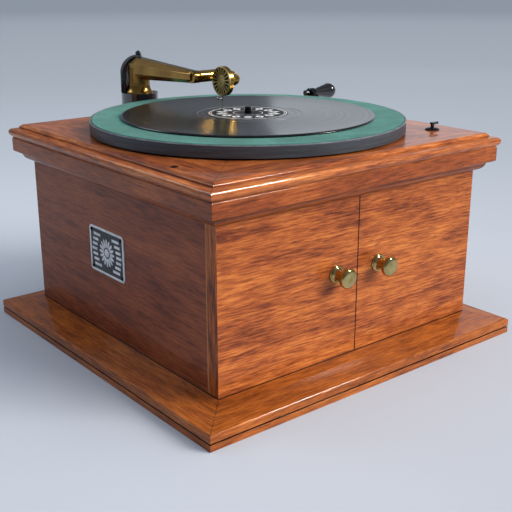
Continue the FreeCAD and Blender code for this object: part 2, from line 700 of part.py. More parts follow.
# Cornice and deck frame
fascia_low = body_top - fascia_high
step_low = fascia_low - fascia_step
ovolo_low = body_top - cornice_high
ovolo_top = ovolo_low + ovolo_radius
cornice = [
    (NONE, ovolo_low), (ovolo_start, ovolo_low),
    ((ovolo_start + ovolo_radius * (1 - round_share), ovolo_low + ovolo_radius * round_share),
     (ovolo_start + ovolo_radius, ovolo_top)),
    (fascia_out - fascia_step, step_low), (fascia_out, fascia_low), (fascia_out, body_top), (NONE, body_top)]
node("cornice_moulding", mitred(cornice, NONE, fascia_out, ovolo_low, body_top))
bead_low = body_top + bead_under
bead_top = bead_low + bead_high
quirk_top = deck_top - deck_chamfer_down
quirk_out = deck_out + deck_chamfer_out
rail_in = half_body - board_half
lip_in = rail_in + lip_wide
deck = [
    (-lip_in, body_top), (fascia_out, body_top), (bead_low_out, bead_low),
    ((bead_out, bead_low + bead_middle), (bead_top_out, bead_top)),
    (quirk_out, quirk_top - quirk_down), (quirk_out, quirk_top), (deck_out, deck_top), (-rail_in, deck_top),
    (-rail_in, board_low), (-lip_in, board_low)]
rails = mitred(deck, lip_in, bead_out, body_top, deck_top)
speed_hole = rod("Z", speed_stem + run_gap, (speed_side, -speed_front, body_top), deck_thick)
screw_places = [(-screw_side, -screw_front), (screw_side, screw_front)]
screw_holes = [rod("Z", half(screw_radius), (x, y, deck_top - screw_deep), screw_deep)
               for x, y in screw_places]
node("top_frame", cut(rails, [speed_hole] + screw_holes))
heads = []
for x, y in screw_places:
    shank = rod("Z", half(screw_radius), (x, y, deck_top - screw_deep), screw_deep)
    heads.append(fuse([shank, rod("Z", screw_radius, (x, y, deck_top), tack_thick)]))
node("deck_screws", group(heads))

# Motor board with the holes for the spindle and the motor bolts
bolt_places = [
    (-(bed_left - pillar_in), NONE), (half(bed_right), -(bed_front - pillar_in)),
    (half(bed_right), bed_back - pillar_in), (-(bed_left - pillar_in), bed_back - pillar_in * 3)]
board = box((-board_half, board_half), (-board_half, board_half), (board_low, deck_top))
board_holes = [rod("Z", spindle_radius * 2, (NONE, NONE, board_low), deck_thick - lip_thick)]
bolt_up = half(deck_thick - lip_thick)
for x, y in bolt_places:
    board_holes.append(rod("Z", bolt_radius, (x, y, board_low), bolt_up))
node("motor_board", cut(board, board_holes))
pads = []
bolts = []
for x, y in bolt_places:
    pads.append(cut(rod("Z", pad_radius, (x, y, body_top), lip_thick),
                    [rod("Z", bolt_radius, (x, y, body_top), lip_thick)]))
    shank = rod("Z", bolt_radius, (x, y, bed_low), bed_thick + lip_thick + bolt_up)
    bolts.append(fuse([shank, rod("Z", bolt_head, (x, y, bed_low - bolt_head_thick), bolt_head_thick)]))
node("motor_pads", group(pads))
node("motor_bolts", group(bolts))

# Doors, knobs and hinge pins
for name, sign in (("left", -1), ("right", 1)):
    side = half_body * sign
    pin_x = hinge_side * sign
    middle = half(door_gap) * sign
    back_y = -(half_body - door_thick)
    plan = [(side, -half_body), (middle, -half_body), (middle, back_y), (side, back_y)]
    slab = prism("XY_Plane", plan, door_low, door_high)
    depth = pin_into + run_gap
    drill = pin_radius + run_gap
    holes = [rod("Z", drill, (pin_x, -hinge_side, door_low), depth),
             rod("Z", drill, (pin_x, -hinge_side, door_top - depth), depth),
             rod("Y", knob_spigot, (knob_out * sign, -half_body, knob_up), knob_hold)]
    node(name + "_door", cut(slab, holes))
    neck_end = knob_long - knob_head
    knob_mid = knob_long - half(knob_head)
    turn = [
        (NONE, -knob_hold), (knob_spigot, -knob_hold), (knob_spigot, NONE), (rosette_radius, NONE),
        (rosette_radius, half(rosette_thick)), (knob_neck, rosette_thick + half(rosette_thick)),
        (knob_neck, neck_end),
        ((knob_radius, knob_mid), (knob_face, knob_long)), (NONE, knob_long)]
    knob = turned(turn, (knob_out * sign, -half_body, knob_up), "front")
    node(name + "_door_knob", knob)
pins = []
for x, y in hinge_places:
    pins.append(rod("Z", pin_radius, (x, y, floor_top - pin_into), pin_into + door_gap + pin_into))
    pins.append(rod("Z", pin_radius, (x, y, door_top - pin_into), pin_into + door_gap + pin_into))
node("door_hinge_pins", group(pins))

# Plate on the left side with its pins
low_u = plate_back - half(plate_wide)
high_u = plate_back + half(plate_wide)
low_v = plate_up - half(plate_high)
high_v = plate_up + half(plate_high)
bulge = plate_round * round_share
face = [
    (high_u - plate_round, low_v), ((high_u - bulge, low_v + bulge), (high_u, low_v + plate_round)),
    (high_u, high_v - plate_round), ((high_u - bulge, high_v - bulge), (high_u - plate_round, high_v)),
    (low_u + plate_round, high_v), ((low_u + bulge, high_v - bulge), (low_u, high_v - plate_round)),
    (low_u, low_v + plate_round), ((low_u + bulge, low_v + bulge), (low_u + plate_round, low_v))]
node("name_plate", prism("YZ_Plane", face, -half_body - plate_thick, plate_thick))
tacks = []
for y in (low_u + tack_in, high_u - tack_in):
    for z in (low_v + tack_in, high_v - tack_in):
        tacks.append(rod("X", tack_radius, (-half_body - plate_thick - tack_thick, y, z), tack_thick))
node("name_plate_pins", group(tacks))

# Horn: five rectangles from the throat to the mouth
horn_stations = [
    (inner_half - throat_land, throat_up, throat_wide, throat_wide),
    *[(half_body * back, throat_up - throat_wide * drop, throat_wide * wide, throat_wide * high)
      for back, drop, wide, high in horn_shares],
    (frame_back, mouth_up, mouth_wide, mouth_high)]
horn = new_body()
for kind, extra in (("PartDesign::AdditiveLoft", horn_wall * 2), ("PartDesign::SubtractiveLoft", NONE)):
    stations = []
    for y, z, wide, high in horn_stations:
        stations.append(outline(horn, "XZ_Plane", rectangle(NONE, z, wide + extra, high + extra), -y))
    lofted(kind, horn, stations)
node("horn", horn)

# Platter, felt, record, label and spindle
rim_in = platter_radius - platter_wall
dish = [
    (spindle_radius, platter_low), (hub_radius, platter_low), (hub_radius, platter_top - platter_wall),
    (rim_in, platter_top - platter_wall), (rim_in, platter_low), (platter_radius, platter_low),
    (platter_radius, platter_top - rim_round),
    ((platter_radius - rim_round * round_share, platter_top - rim_round * round_share),
     (platter_radius - rim_round, platter_top)),
    (spindle_radius, platter_top)]
node("platter", turned(dish))


def ring(inner, outer, low, thick):
    return turned([(inner, low), (outer, low), (outer, low + thick), (inner, low + thick)])


node("felt_mat", ring(spindle_radius, felt_radius, platter_top, felt_thick))
bulge = half(record_thick)
disc = [
    (spindle_radius, felt_top), (record_radius - bulge, felt_top),
    ((record_radius, felt_top + bulge), (record_radius - bulge, record_top)), (spindle_radius, record_top)]
node("record", turned(disc))
node("record_label", ring(spindle_radius, label_radius, record_top, label_thick))
spindle_line = [
    (NONE, lower_low), (spindle_radius, lower_low), (spindle_radius, label_top), (tip_radius, label_top),
    (tip_radius, spindle_top - spindle_round),
    ((tip_radius - spindle_round * round_share, spindle_top - spindle_round * round_share),
     (tip_radius - spindle_round, spindle_top)),
    (NONE, spindle_top)]
pinion_low = wheel_low - half(pinion_long - wheel_thick)
spindle_pinion = made(gear(teeth_counts["spindle"], fine_module, pinion_low, pinion_long, 0))
node("spindle", fuse([turned(spindle_line), spindle_pinion]))
worm_lead = math.pi * float(coarse_module) * worm_starts
worm_slope = worm_lead / (2 * math.pi * float(worm_radius))
worm_wheel_thick = pinion_long * worm_wheel_share
worm_twist = float(worm_wheel_thick) * worm_slope / float(worm_wheel_radius)
worm_wheel_low = governor_up - half(worm_wheel_thick)
node("worm_wheel", made(gear(teeth_counts["worm_wheel"], coarse_module, worm_wheel_low, worm_wheel_thick,
                             spindle_radius, worm_twist, -math.pi / 2)))

# Motor plates and pillars
pivot_places = [
    (NONE, NONE, spindle_radius), (barrel_side, barrel_back, barrel_arbor_radius)]
bed = box((-bed_left, bed_right), (-bed_front, bed_back), (bed_low, body_top))
low_plate = box((-bed_left, bed_right), (-bed_front, bed_back), (lower_low, lower_top))
bed_holes = []
low_holes = []
for x, y, radius in pivot_places:
    bed_holes.append(rod("Z", radius + run_gap, (x, y, bed_low), bed_thick))
    low_holes.append(rod("Z", radius + run_gap, (x, y, lower_low), lower_thick))
for z, thick, holes in ((bed_low, bed_thick, bed_holes), (lower_low, lower_thick, low_holes)):
    holes.append(rod("Z", arbor_radius + run_gap, (middle_x, middle_y, z), thick))
for x, y in bolt_places:
    bed_holes.append(rod("Z", bolt_radius, (x, y, bed_low), bed_thick))
pin_low = brake_up - half(brake_thick)
brake_post = rod("Z", brake_pin, (brake_side, -brake_front, pin_low), bed_low - pin_low)
washer = rod("Z", brake_pin * washer_share, (brake_side, -brake_front, pin_low), half(brake_thick))
node("motor_bedplate", cut(fuse([bed, brake_post, washer]), bed_holes))
posts = [low_plate]
for x in (-governor_start, governor_end - bearing_thick):
    posts.append(box((x, x + bearing_thick), (governor_y - half(bearing_wide), governor_y + half(bearing_wide)),
                     (lower_top, governor_up + bearing_over)))
low_holes.append(rod("X", governor_radius + run_gap, (-governor_start, governor_y, governor_up),
                     governor_start + governor_end))
node("motor_lower_plate", cut(fuse(posts), low_holes))
pillars = []
for x in (-(bed_left - pillar_in), bed_right - pillar_in):
    for y in (-(bed_front - pillar_in), bed_back - pillar_in):
        pillars.append(rod("Z", pillar_radius, (x, y, lower_top), motor_high))
node("motor_pillars", group(pillars))

# Spring barrel, its cover, spring and arbor
drum = [
    (barrel_arbor_radius + run_gap, barrel_low), (barrel_radius, barrel_low),
    (barrel_radius, barrel_low + barrel_high - barrel_wall),
    (barrel_radius - barrel_wall, barrel_low + barrel_high - barrel_wall),
    (barrel_radius - barrel_wall, barrel_low + barrel_wall),
    (barrel_arbor_radius + run_gap, barrel_low + barrel_wall)]
great = made(gear(teeth_counts["great"], coarse_module, great_low, great_thick,
                  barrel_arbor_radius + run_gap))
place(great, (barrel_side, barrel_back, NONE))
drum_body = turned(drum, (barrel_side, barrel_back, NONE))
node("spring_barrel", fuse([drum_body, great]))
lid = turned([
    (barrel_arbor_radius + run_gap, barrel_low + barrel_high - barrel_wall),
    (barrel_radius, barrel_low + barrel_high - barrel_wall), (barrel_radius, barrel_low + barrel_high),
    (barrel_arbor_radius + run_gap, barrel_low + barrel_high)], (barrel_side, barrel_back, NONE))
node("barrel_cover", lid)


def spiral(radius_low, radius_high, shift):
    points = []
    steps = spring_turns * 12
    for i in range(steps + 1):
        angle = 2 * math.pi * spring_turns * i / steps
        radius = radius_low + (radius_high - radius_low) * i / steps + shift
        points.append(V(radius * math.cos(angle), radius * math.sin(angle), 0))
    curve = Part.BSplineCurve()
    curve.interpolate(points)
    return curve.toShape()


spring_outer = barrel_radius - barrel_wall - spring_gap - spring_thick
inner_edge = spiral(float(spring_inner), float(spring_outer), 0.0)
outer_edge = spiral(float(spring_inner), float(spring_outer), float(spring_thick))
joins = [Part.makeLine(inner_edge.valueAt(e), outer_edge.valueAt(f)) for e, f in zip(
    inner_edge.ParameterRange, outer_edge.ParameterRange)]
strip = Part.Face(Part.Wire(Part.__sortEdges__([inner_edge, outer_edge] + joins)))
spring_low = barrel_low + barrel_wall
spring_high = barrel_high - barrel_wall * 2
spring = made(strip.extrude(V(0, 0, float(spring_high))))
node("mainspring", place(spring, (barrel_side, barrel_back, spring_low)))
arbor = turned([(NONE, lower_low), (barrel_arbor_radius, lower_low), (barrel_arbor_radius, body_top), (NONE, body_top)],
               (barrel_side, barrel_back, NONE))
node("barrel_arbor", arbor)

# Winding wheel: teeth on its underside, round a plain disc
tooth_low = contrate_pitch - fine_module * addendum_share
tooth_root = contrate_pitch + fine_module * dedendum_share
wheel_disc = Part.makeCylinder(float(contrate_radius + half(contrate_rim)), float(contrate_thick),
                               V(0, 0, float(tooth_root)))
tooth_wide = math.pi * float(fine_module) * float(contrate_share)
teeth = []
for i in range(teeth_counts["contrate"]):
    tooth = Part.makeBox(float(contrate_face), tooth_wide, float(tooth_root - tooth_low),
                         V(float(contrate_radius - half(contrate_face)), -tooth_wide / 2, float(tooth_low)))
    tooth.rotate(V(0, 0, 0), V(0, 0, 1), 360 * i / teeth_counts["contrate"])
    teeth.append(tooth)
contrate = wheel_disc.fuse(teeth).removeSplitter()
contrate = contrate.cut(Part.makeCylinder(float(barrel_arbor_radius), float(contrate_thick),
                                          V(0, 0, float(tooth_root))))
node("winding_wheel", place(made(contrate), (barrel_side, barrel_back, NONE)))

# Intermediate arbor with its pinion, and its wheel
middle_arbor = Part.makeCylinder(float(arbor_radius), float(body_top - lower_low), V(0, 0, float(lower_low)))
pinion_at = great_low + half(great_thick) - half(pinion_long)


to_great = math.atan2(float(barrel_back) - middle_y, float(barrel_side) - middle_x)
to_spindle = math.atan2(-middle_y, -middle_x)
great_step = 2 * math.pi / teeth_counts["great"]
great_off = (to_great + math.pi) % great_step / great_step
pinion_step = 2 * math.pi / teeth_counts["pinion"]
pinion_phase = to_great + pinion_step / 2 + great_off * pinion_step
middle_pinion = gear(teeth_counts["pinion"], coarse_module, pinion_at, pinion_long, 0, 0.0, pinion_phase)
middle_piece = made(middle_arbor.fuse(middle_pinion).removeSplitter())
node("intermediate_arbor", place(middle_piece, (middle_x, middle_y, NONE)))
spindle_step = 2 * math.pi / teeth_counts["spindle"]
spindle_off = (to_spindle + math.pi) % spindle_step / spindle_step
wheel_step = 2 * math.pi / teeth_counts["wheel"]
wheel_phase = to_spindle + wheel_step / 2 + spindle_off * wheel_step
middle_wheel = gear(teeth_counts["wheel"], fine_module, wheel_low, wheel_thick, arbor_radius, 0.0,
                    wheel_phase)
node("intermediate_wheel", place(made(middle_wheel), (middle_x, middle_y, NONE)))

# Governor: shaft with its worm, friction disc, leaf springs and weights
worm_root = float(worm_radius) - float(coarse_module) * float(dedendum_share)
worm_tip = float(worm_radius) + float(coarse_module) * float(addendum_share)
thread_half = math.pi * float(coarse_module) * float(tooth_share) / 2
slope = math.tan(math.radians(20))
core = Part.makeCylinder(worm_root, float(worm_long), V(0, 0, -float(worm_long) / 2))
threads = []
for i in range(worm_starts):
    path = Part.makeHelix(worm_lead, float(worm_long) - worm_lead / 4, float(worm_radius))
    low_half = thread_half + (float(worm_radius) - worm_root) * slope
    tip_half = thread_half - (worm_tip - float(worm_radius)) * slope
    deep = worm_root * thread_root_share
    section = Part.makePolygon([V(deep, 0, -low_half), V(worm_tip, 0, -tip_half), V(worm_tip, 0, tip_half),
                                V(deep, 0, low_half), V(deep, 0, -low_half)])
    thread = Part.Wire(path).makePipeShell([section], True, True)
    thread.translate(V(0, 0, -float(worm_long) / 2 + worm_lead / 8))
    thread.rotate(V(0, 0, 0), V(0, 0, 1), 360 * i / worm_starts)
    threads.append(thread)
worm = core.fuse(threads)
shaft_line = Part.makeCylinder(float(governor_radius), float(governor_start + governor_end),
                               V(0, 0, -float(governor_start)))
collar = Part.makeCylinder(float(collar_radius), float(collar_thick), V(0, 0, float(collar_side)))
governor = worm.fuse([shaft_line, collar])
# Turn the thread so that a gap of the worm meets the worm wheel's tooth at rest
governor.rotate(V(0, 0, 0), V(0, 1, 0), 90)
start_angle = 180.0 - 360.0 * (float(worm_long) / 2 - worm_lead / 8) / worm_lead
governor.rotate(V(0, 0, 0), V(1, 0, 0), start_angle)
governor.translate(V(0, float(governor_y), float(governor_up)))
node("governor_shaft", made(governor))
plate = rod("X", disc_radius, (disc_side, governor_y, governor_up), disc_thick)
boss = rod("X", collar_radius, (disc_side - collar_thick, governor_y, governor_up), collar_thick)
bore = rod("X", governor_radius, (disc_side - collar_thick, governor_y, governor_up),
           collar_thick + disc_thick)
node("friction_disc", cut(fuse([plate, boss]), [bore]))
weights = []
leaf_long = float(disc_side - collar_side)
for i in range(3):
    leaf = Part.makeBox(leaf_long, float(leaf_wide), float(leaf_thick),
                        V(float(collar_side), -float(leaf_wide) / 2, float(collar_radius)))
    weight = Part.makeCylinder(float(weight_radius), float(weight_high),
                               V(float(collar_side) + leaf_long / 2, 0, float(collar_radius + leaf_thick)))
    both = leaf.fuse(weight)
    both.rotate(V(0, 0, 0), V(1, 0, 0), 120 * i)
    weights.append(both)
node("governor_weights", place(made(Part.makeCompound(weights)), (NONE, governor_y, governor_up)))

# Crank: bush, shaft with the winding pinion, arm and grip
bush = [(shaft_radius + run_gap, -panel_thick), (bush_tube, -panel_thick), (bush_tube, NONE), (bush_radius, NONE),
        (bush_radius, half(bush_thick)), (bush_radius - half(bush_thick), bush_thick),
        (shaft_radius + run_gap, bush_thick)]
node("crank_bush", turned(bush, (half_body, barrel_back, crank_up), "X"))
winder_side = barrel_side + contrate_radius
shaft_in = winder_side - half(contrate_rim)
arm_out = crank_arm_in + crank_arm_thick
shaft = rod("X", shaft_radius, (shaft_in, barrel_back, crank_up), arm_out - shaft_in)
winder_gap = math.pi / teeth_counts["winder"]
winder = gear(teeth_counts["winder"], fine_module, 0, contrate_rim, 0, 0.0, winder_gap)
winder.rotate(V(0, 0, 0), V(0, 1, 0), 90)
winder.translate(V(float(shaft_in), float(barrel_back), float(crank_up)))
winder_piece = made(winder)
node("crank_shaft", fuse([shaft, winder_piece]))
lean = math.radians(float(crank_lean))
lean_y = crank_reach * math.cos(lean)
lean_z = crank_reach * math.sin(lean)
grip_y = barrel_back + lean_y
grip_z = crank_up + lean_z
bar = [((-crank_arm_radius, NONE), (NONE, -crank_arm_radius)), (crank_reach, -crank_arm_radius),
       ((crank_reach + crank_arm_radius, NONE), (crank_reach, crank_arm_radius)), (NONE, crank_arm_radius)]
bar_body = prism("YZ_Plane", bar, NONE, crank_arm_thick)
place(bar_body, (crank_arm_in, barrel_back, crank_up), FreeCAD.Rotation(V(1, 0, 0), float(crank_lean)))
bar_body.setExpression("Placement.Rotation.Angle", crank_lean.text)
pin = rod("X", grip_pin, (crank_arm_in, grip_y, grip_z), crank_arm_thick + grip_start + grip_long * grip_pin_share)
pin_end = rod("X", pin_head, (crank_arm_in - pin_head_thick, grip_y, grip_z), pin_head_thick)
shaft_hole = rod("X", shaft_radius, (crank_arm_in, barrel_back, crank_up), crank_arm_thick)
node("crank_arm", cut(fuse([bar_body, pin, pin_end]), [shaft_hole]))
fat_low = (grip_neck + grip_radius) * grip_waist_share
end_long = grip_long - grip_fat
round_end = (grip_radius * grip_radius + end_long * end_long) / (end_long * 2)
handle = [
    (grip_pin + run_gap, NONE), (grip_neck + grip_pin * grip_lip_share, NONE), (grip_neck, grip_pin),
    ((fat_low, half(grip_fat)), (grip_radius, grip_fat)),
    ((round_end * diagonal_share, grip_long - round_end + round_end * diagonal_share), (NONE, grip_long)),
    (NONE, grip_long * grip_bore_share), (grip_pin + run_gap, grip_long * grip_bore_share)]
node("crank_grip", turned(handle, (arm_out + grip_start, grip_y, grip_z), "X"))

# Rear bracket: flange, elbow pipe and cup
cup_low = cup_top - cup_high
pipe_up = rod("Z", pipe_radius, (NONE, pivot_back, throat_up), cup_low - throat_up)
pipe_in = rod("Y", pipe_radius, (NONE, inner_half, throat_up), pivot_back - inner_half)
elbow = ball(pipe_radius, (NONE, pivot_back, throat_up))
cup = turned([(NONE, cup_low - half(cup_high)), (pipe_radius, cup_low - half(cup_high)), (cup_radius, cup_low),
              (cup_radius, cup_top), (NONE, cup_top)], (NONE, pivot_back, NONE))
flange = box((-half(flange_wide), half(flange_wide)), (half_body, half_body + flange_thick),
             (throat_up - half(flange_high), throat_up + half(flange_high)))
hollow = [rod("Z", bore_radius, (NONE, pivot_back, throat_up), cup_top - throat_up),
          rod("Y", bore_radius, (NONE, inner_half, throat_up), pivot_back - inner_half),
          ball(bore_radius, (NONE, pivot_back, throat_up)),
          rod("Z", seat_radius, (NONE, pivot_back, cup_top - seat_deep), seat_deep)]
node("rear_bracket", cut(fuse([pipe_up, pipe_in, elbow, cup, flange]), hollow))
bracket_screws = []
for x in (-half(flange_wide) + flange_screw_in, half(flange_wide) - flange_screw_in):
    for z in (throat_up - half(flange_high) + flange_screw_in, throat_up + half(flange_high) - flange_screw_in):
        bracket_screws.append(rod("Y", screw_radius, (x, half_body + flange_thick, z), tack_thick * 2))
node("bracket_screws", group(bracket_screws))
strap_in = cup_radius - strap_thick
strap_line = [
    (strap_in, cup_top), (cup_radius, cup_top), (cup_radius, cup_top + strap_straight),
    ((strap_mid_in + half(strap_thick), cup_top + strap_mid_up + half(strap_thick)),
     (strap_eye, cup_top + strap_top)),
    (pivot_radius, cup_top + strap_top), (pivot_radius, cup_top + strap_top - strap_thick),
    (strap_eye, cup_top + strap_top - strap_thick),
    ((strap_mid_in - half(strap_thick), cup_top + strap_mid_up - half(strap_thick)),
     (strap_in, cup_top + strap_straight))]
strap = turned(strap_line, (NONE, pivot_back, NONE), "Z", strap_half_turn * 2)
strap.Placement = FreeCAD.Placement(V(0, float(pivot_back), 0), FreeCAD.Rotation(V(0, 0, 1), 90))
eye = cut(rod("Z", strap_eye, (NONE, pivot_back, cup_top + strap_top - strap_thick), strap_thick),
          [rod("Z", pivot_radius, (NONE, pivot_back, cup_top + strap_top - strap_thick), strap_thick)])
node("pivot_strap", fuse([strap, eye]))
ball_up = cup_top + strap_top + half(ball_radius)
stem_low = cup_top + strap_top - strap_thick * 2
pivot = fuse([ball(ball_radius, (NONE, pivot_back, ball_up)),
              rod("Z", pivot_radius, (NONE, pivot_back, stem_low), ball_up - stem_low)])
guard = rod("Z", ball_radius * 2, (NONE, pivot_back, cup_top + strap_top - ball_radius), ball_radius)
slim = rod("Z", pivot_radius, (NONE, pivot_back, stem_low), strap_thick * 4)
node("pivot_screw", cut(pivot, [cut(guard, [slim])]))

# Tone arm: turned foot and neck, flat leg and tapered eight sided arm
foot_low = cup_top - seat_deep
seat = seat_radius - run_gap
foot = turned([
    (bore_radius, foot_low), (seat, foot_low), (seat, foot_low + half(seat_deep)), (foot_radius, cup_top),
    (foot_radius, cup_top + half(strap_thick)),
    ((neck_radius + (foot_radius - neck_radius) * foot_out_share, cup_top + neck_start * foot_up_share),
     (neck_radius, cup_top + neck_start)),
    (neck_radius, arm_up), (bore_radius, arm_up)], (NONE, pivot_back, NONE))


def eight_sides(wide, high):
    """Corners of an eight sided section round the arm's axis."""
    w = half(wide)
    h = half(high)
    fw = w * arm_flat_share
    fh = h * arm_flat_share
    return [(-w, arm_up - fh), (-fw, arm_up - h), (fw, arm_up - h), (w, arm_up - fh),
            (w, arm_up + fh), (fw, arm_up + h), (-fw, arm_up + h), (-w, arm_up + fh)]


arm_body = new_body()
arm_stations = [(pivot_back + arm_rear, arm_wide, arm_high), (pivot_back - arm_rear, arm_wide, arm_high),
                (arm_front, arm_end, arm_end)]
sections = [outline(arm_body, "XZ_Plane", eight_sides(w, h), -y) for y, w, h in arm_stations]
lofted("PartDesign::AdditiveLoft", arm_body, sections)
rear_y = pivot_back + arm_rear
leg = box((-half(arm_wide), half(arm_wide)), (rear_y - leg_deep, rear_y), (cup_top + strap_thick, arm_up))
leg_limit = rod("Z", foot_radius, (NONE, pivot_back, cup_top), arm_up - cup_top)
slope_cut = prism("YZ_Plane", [
    (rear_y, arm_up + half(arm_high) - arm_chamfer), (rear_y, arm_up + arm_high),
    (rear_y - arm_chamfer * 2, arm_up + arm_high), (rear_y - arm_chamfer, arm_up + half(arm_high))],
    -arm_wide, arm_wide * 2)
socket = rod("X", socket_radius, (-socket_half, arm_front, arm_up), socket_half * 2)
stub_room = rod("X", stub_radius + run_gap, (-socket_half + stub_cap, arm_front, arm_up), socket_half * 2)
slot = box((-socket_half, -socket_half + slot_deep), (arm_front - socket_radius, arm_front + socket_radius),
           (arm_up - half(slot_wide), arm_up + half(slot_wide)))
doc.recompute()
slot_shape = slot.Shape.copy()
slot_shape.rotate(V(0, float(arm_front), float(arm_up)), V(1, 0, 0), -35)
slot_piece = made(slot_shape)
screw_room = rod("Z", pivot_radius + run_gap, (NONE, pivot_back, stem_low), arm_high)
passage = rod("Z", bore_radius, (NONE, pivot_back, foot_low), arm_up - foot_low)
arm_passage = rod("Y", tube_bore, (NONE, arm_front, arm_up), pivot_back - arm_front)
front_cut = box((socket_half, arm_wide), (arm_front - arm_end, arm_front + arm_end),
                (arm_up - arm_end, arm_up + arm_end))
whole = fuse([foot, arm_body, common(leg, leg_limit), socket])
node("tone_arm", cut(whole, [slope_cut, stub_room, slot_piece, screw_room, passage, arm_passage, front_cut]))

# Gooseneck, built level and then let down about its socket
tilt_at = V(0, float(arm_front), float(arm_up))


def drooped(obj):
    """Turns a finished piece down about the socket's axis."""
    doc.recompute()
    shape = obj.Shape.copy()
    shape.rotate(tilt_at, V(1, 0, 0), float(droop))
    return made(shape)


lower_y = arm_front - bend_radius * 2


def bent_tube(radius, start_x, end_x):
    """A tube that leaves the socket, bends half round and comes back."""
    centre = V(float(bend_side), float(arm_front), float(arm_up))
    face = Part.Face(Part.Wire(Part.makeCircle(float(radius), centre, V(1, 0, 0))))
    bend = face.revolve(V(float(bend_side), float(arm_front - bend_radius), float(arm_up)), V(0, 0, 1), -180)
    first = Part.makeCylinder(float(radius), float(bend_side) - float(start_x),
                              V(float(start_x), float(arm_front), float(arm_up)), V(1, 0, 0))
    second = Part.makeCylinder(float(radius), float(bend_side) - float(end_x),
                               V(float(end_x), float(lower_y), float(arm_up)), V(1, 0, 0))
    return bend.fuse([first, second]).removeSplitter()


tube_start = socket_half + run_gap
outer_tube = bent_tube(tube_radius, tube_start, box_back)
stub_start = -socket_half + stub_cap + run_gap
stub = Part.makeCylinder(float(stub_radius), float(tube_start - stub_start),
                         V(float(stub_start), float(arm_front), float(arm_up)), V(1, 0, 0))
inner_tube = bent_tube(tube_bore, stub_start, box_back)
node("gooseneck", drooped(made(outer_tube.fuse(stub).cut(inner_tube).removeSplitter())))

# Soundbox: case, grille, diaphragm, needle holder, needle and its screw
deep = box_back - box_face
case_line = [
    (tube_bore, deep), (tube_bore, deep - box_wall), (box_radius - box_wall, deep - box_wall),
    (box_radius - box_wall, grille_thick), (box_radius, grille_thick), (box_radius, deep)]
case = turned(case_line, (box_face, lower_y, arm_up), "X")
node("soundbox_case", drooped(case))
front = Part.makeCylinder(float(box_radius), float(grille_thick))
slit_step = 360 / grille_slots
slits = []
for i in range(grille_slots):
    turn_half = math.radians(slit_step) * float(slot_share) / 2
    corners = []
    for r, side in ((grille_hub, -1), (grille_rim, -1), (grille_rim, 1), (grille_hub, 1)):
        corners.append(V(float(r) * math.cos(side * turn_half), float(r) * math.sin(side * turn_half), 0))
    corners.append(corners[0])
    slit = Part.Face(Part.makePolygon(corners)).extrude(V(0, 0, float(grille_thick)))
    slit.rotate(V(0, 0, 0), V(0, 0, 1), slit_step * i)
    slits.append(slit)
front = front.cut(slits)
grille = place(made(front), (box_face, lower_y, arm_up), DOWN_X)
node("soundbox_grille", drooped(grille))
mica = rod("X", box_radius - box_wall, (box_face + grille_thick + diaphragm_at, lower_y, arm_up),
           diaphragm_thick)
node("diaphragm", drooped(mica))
holder_x = box_face + half(deep) + half(grille_thick)
holder_top = arm_up - box_radius + half(box_wall)
holder_low = arm_up - box_radius - chuck_long
thumb_x = holder_x - chuck_radius
holder = rod("Z", chuck_radius, (holder_x, lower_y, holder_low), holder_top - holder_low)
case_keep = rod("X", box_radius, (box_face, lower_y, arm_up), deep)
needle_hole = rod("Z", needle_radius, (holder_x, lower_y, holder_low), needle_in)
thumb_up = holder_low + needle_in - thumb_stem
thumb_hole = rod("X", thumb_stem + run_gap, (thumb_x - thumb_out, lower_y, thumb_up),
                 thumb_out + chuck_radius)
node("stylus_bar", drooped(cut(holder, [case_keep, needle_hole, thumb_hole])))
shank = needle_out * needle_shank_share
needle = fuse([rod("Z", needle_radius, (holder_x, lower_y, holder_low - shank), needle_in + shank),
               place(doc.addObject("Part::Cone", "Point"), (holder_x, lower_y, holder_low - needle_out))])
point = needle.Shapes[1]
bind(point, "Radius1", needle_radius * needle_tip_share)
bind(point, "Radius2", needle_radius)
bind(point, "Height", needle_out - shank)
node("needle", drooped(needle))
thumb_at = thumb_x - thumb_out - thumb_radius
thumb_end = thumb_out + thumb_radius + chuck_radius - needle_radius - run_gap
ball_end = math.sqrt(float(thumb_radius) ** 2 - float(thumb_stem) ** 2)
thumb = turned([
    (NONE, -thumb_radius), ((thumb_radius, NONE), (thumb_stem, ball_end)), (thumb_stem, thumb_end),
    (NONE, thumb_end)],
    (thumb_at, lower_y, thumb_up), "X")
node("needle_screw", drooped(thumb))

# Speed lever, its plate and the brake lever that its cam moves
ring_in = speed_stem + run_gap
speed_line = [(ring_in, deck_top), (speed_plate, deck_top), (speed_plate, deck_top + half(speed_plate_thick)),
              (speed_plate * speed_face_share, deck_top + speed_plate_thick), (ring_in, deck_top + speed_plate_thick)]
node("speed_plate", turned(speed_line, (speed_side, -speed_front, NONE)))
cam_low = brake_up - half(brake_thick)
stem_high = deck_top + speed_plate_thick + speed_over
stem = rod("Z", speed_stem, (speed_side, -speed_front, cam_low), stem_high - cam_low)
cam_turn = math.atan2(float(finger_front) - float(speed_front), float(speed_side) - float(finger_side))
cam_x = speed_side - cam_off * math.sin(cam_turn)
cam_y = -speed_front + cam_off * math.cos(cam_turn)
cam = rod("Z", cam_radius, (cam_x, cam_y, cam_low), brake_thick * 2)
tip = box((speed_side - half(speed_tip_wide), speed_side + speed_tip),
          (-speed_front - half(speed_tip_wide), -speed_front + half(speed_tip_wide)),
          (stem_high - speed_tip_thick, stem_high))
tip_end = rod("Z", half(speed_tip_wide), (speed_side + speed_tip, -speed_front, stem_high - speed_tip_thick),
              speed_tip_thick)
node("speed_lever", fuse([stem, cam, tip, tip_end]))


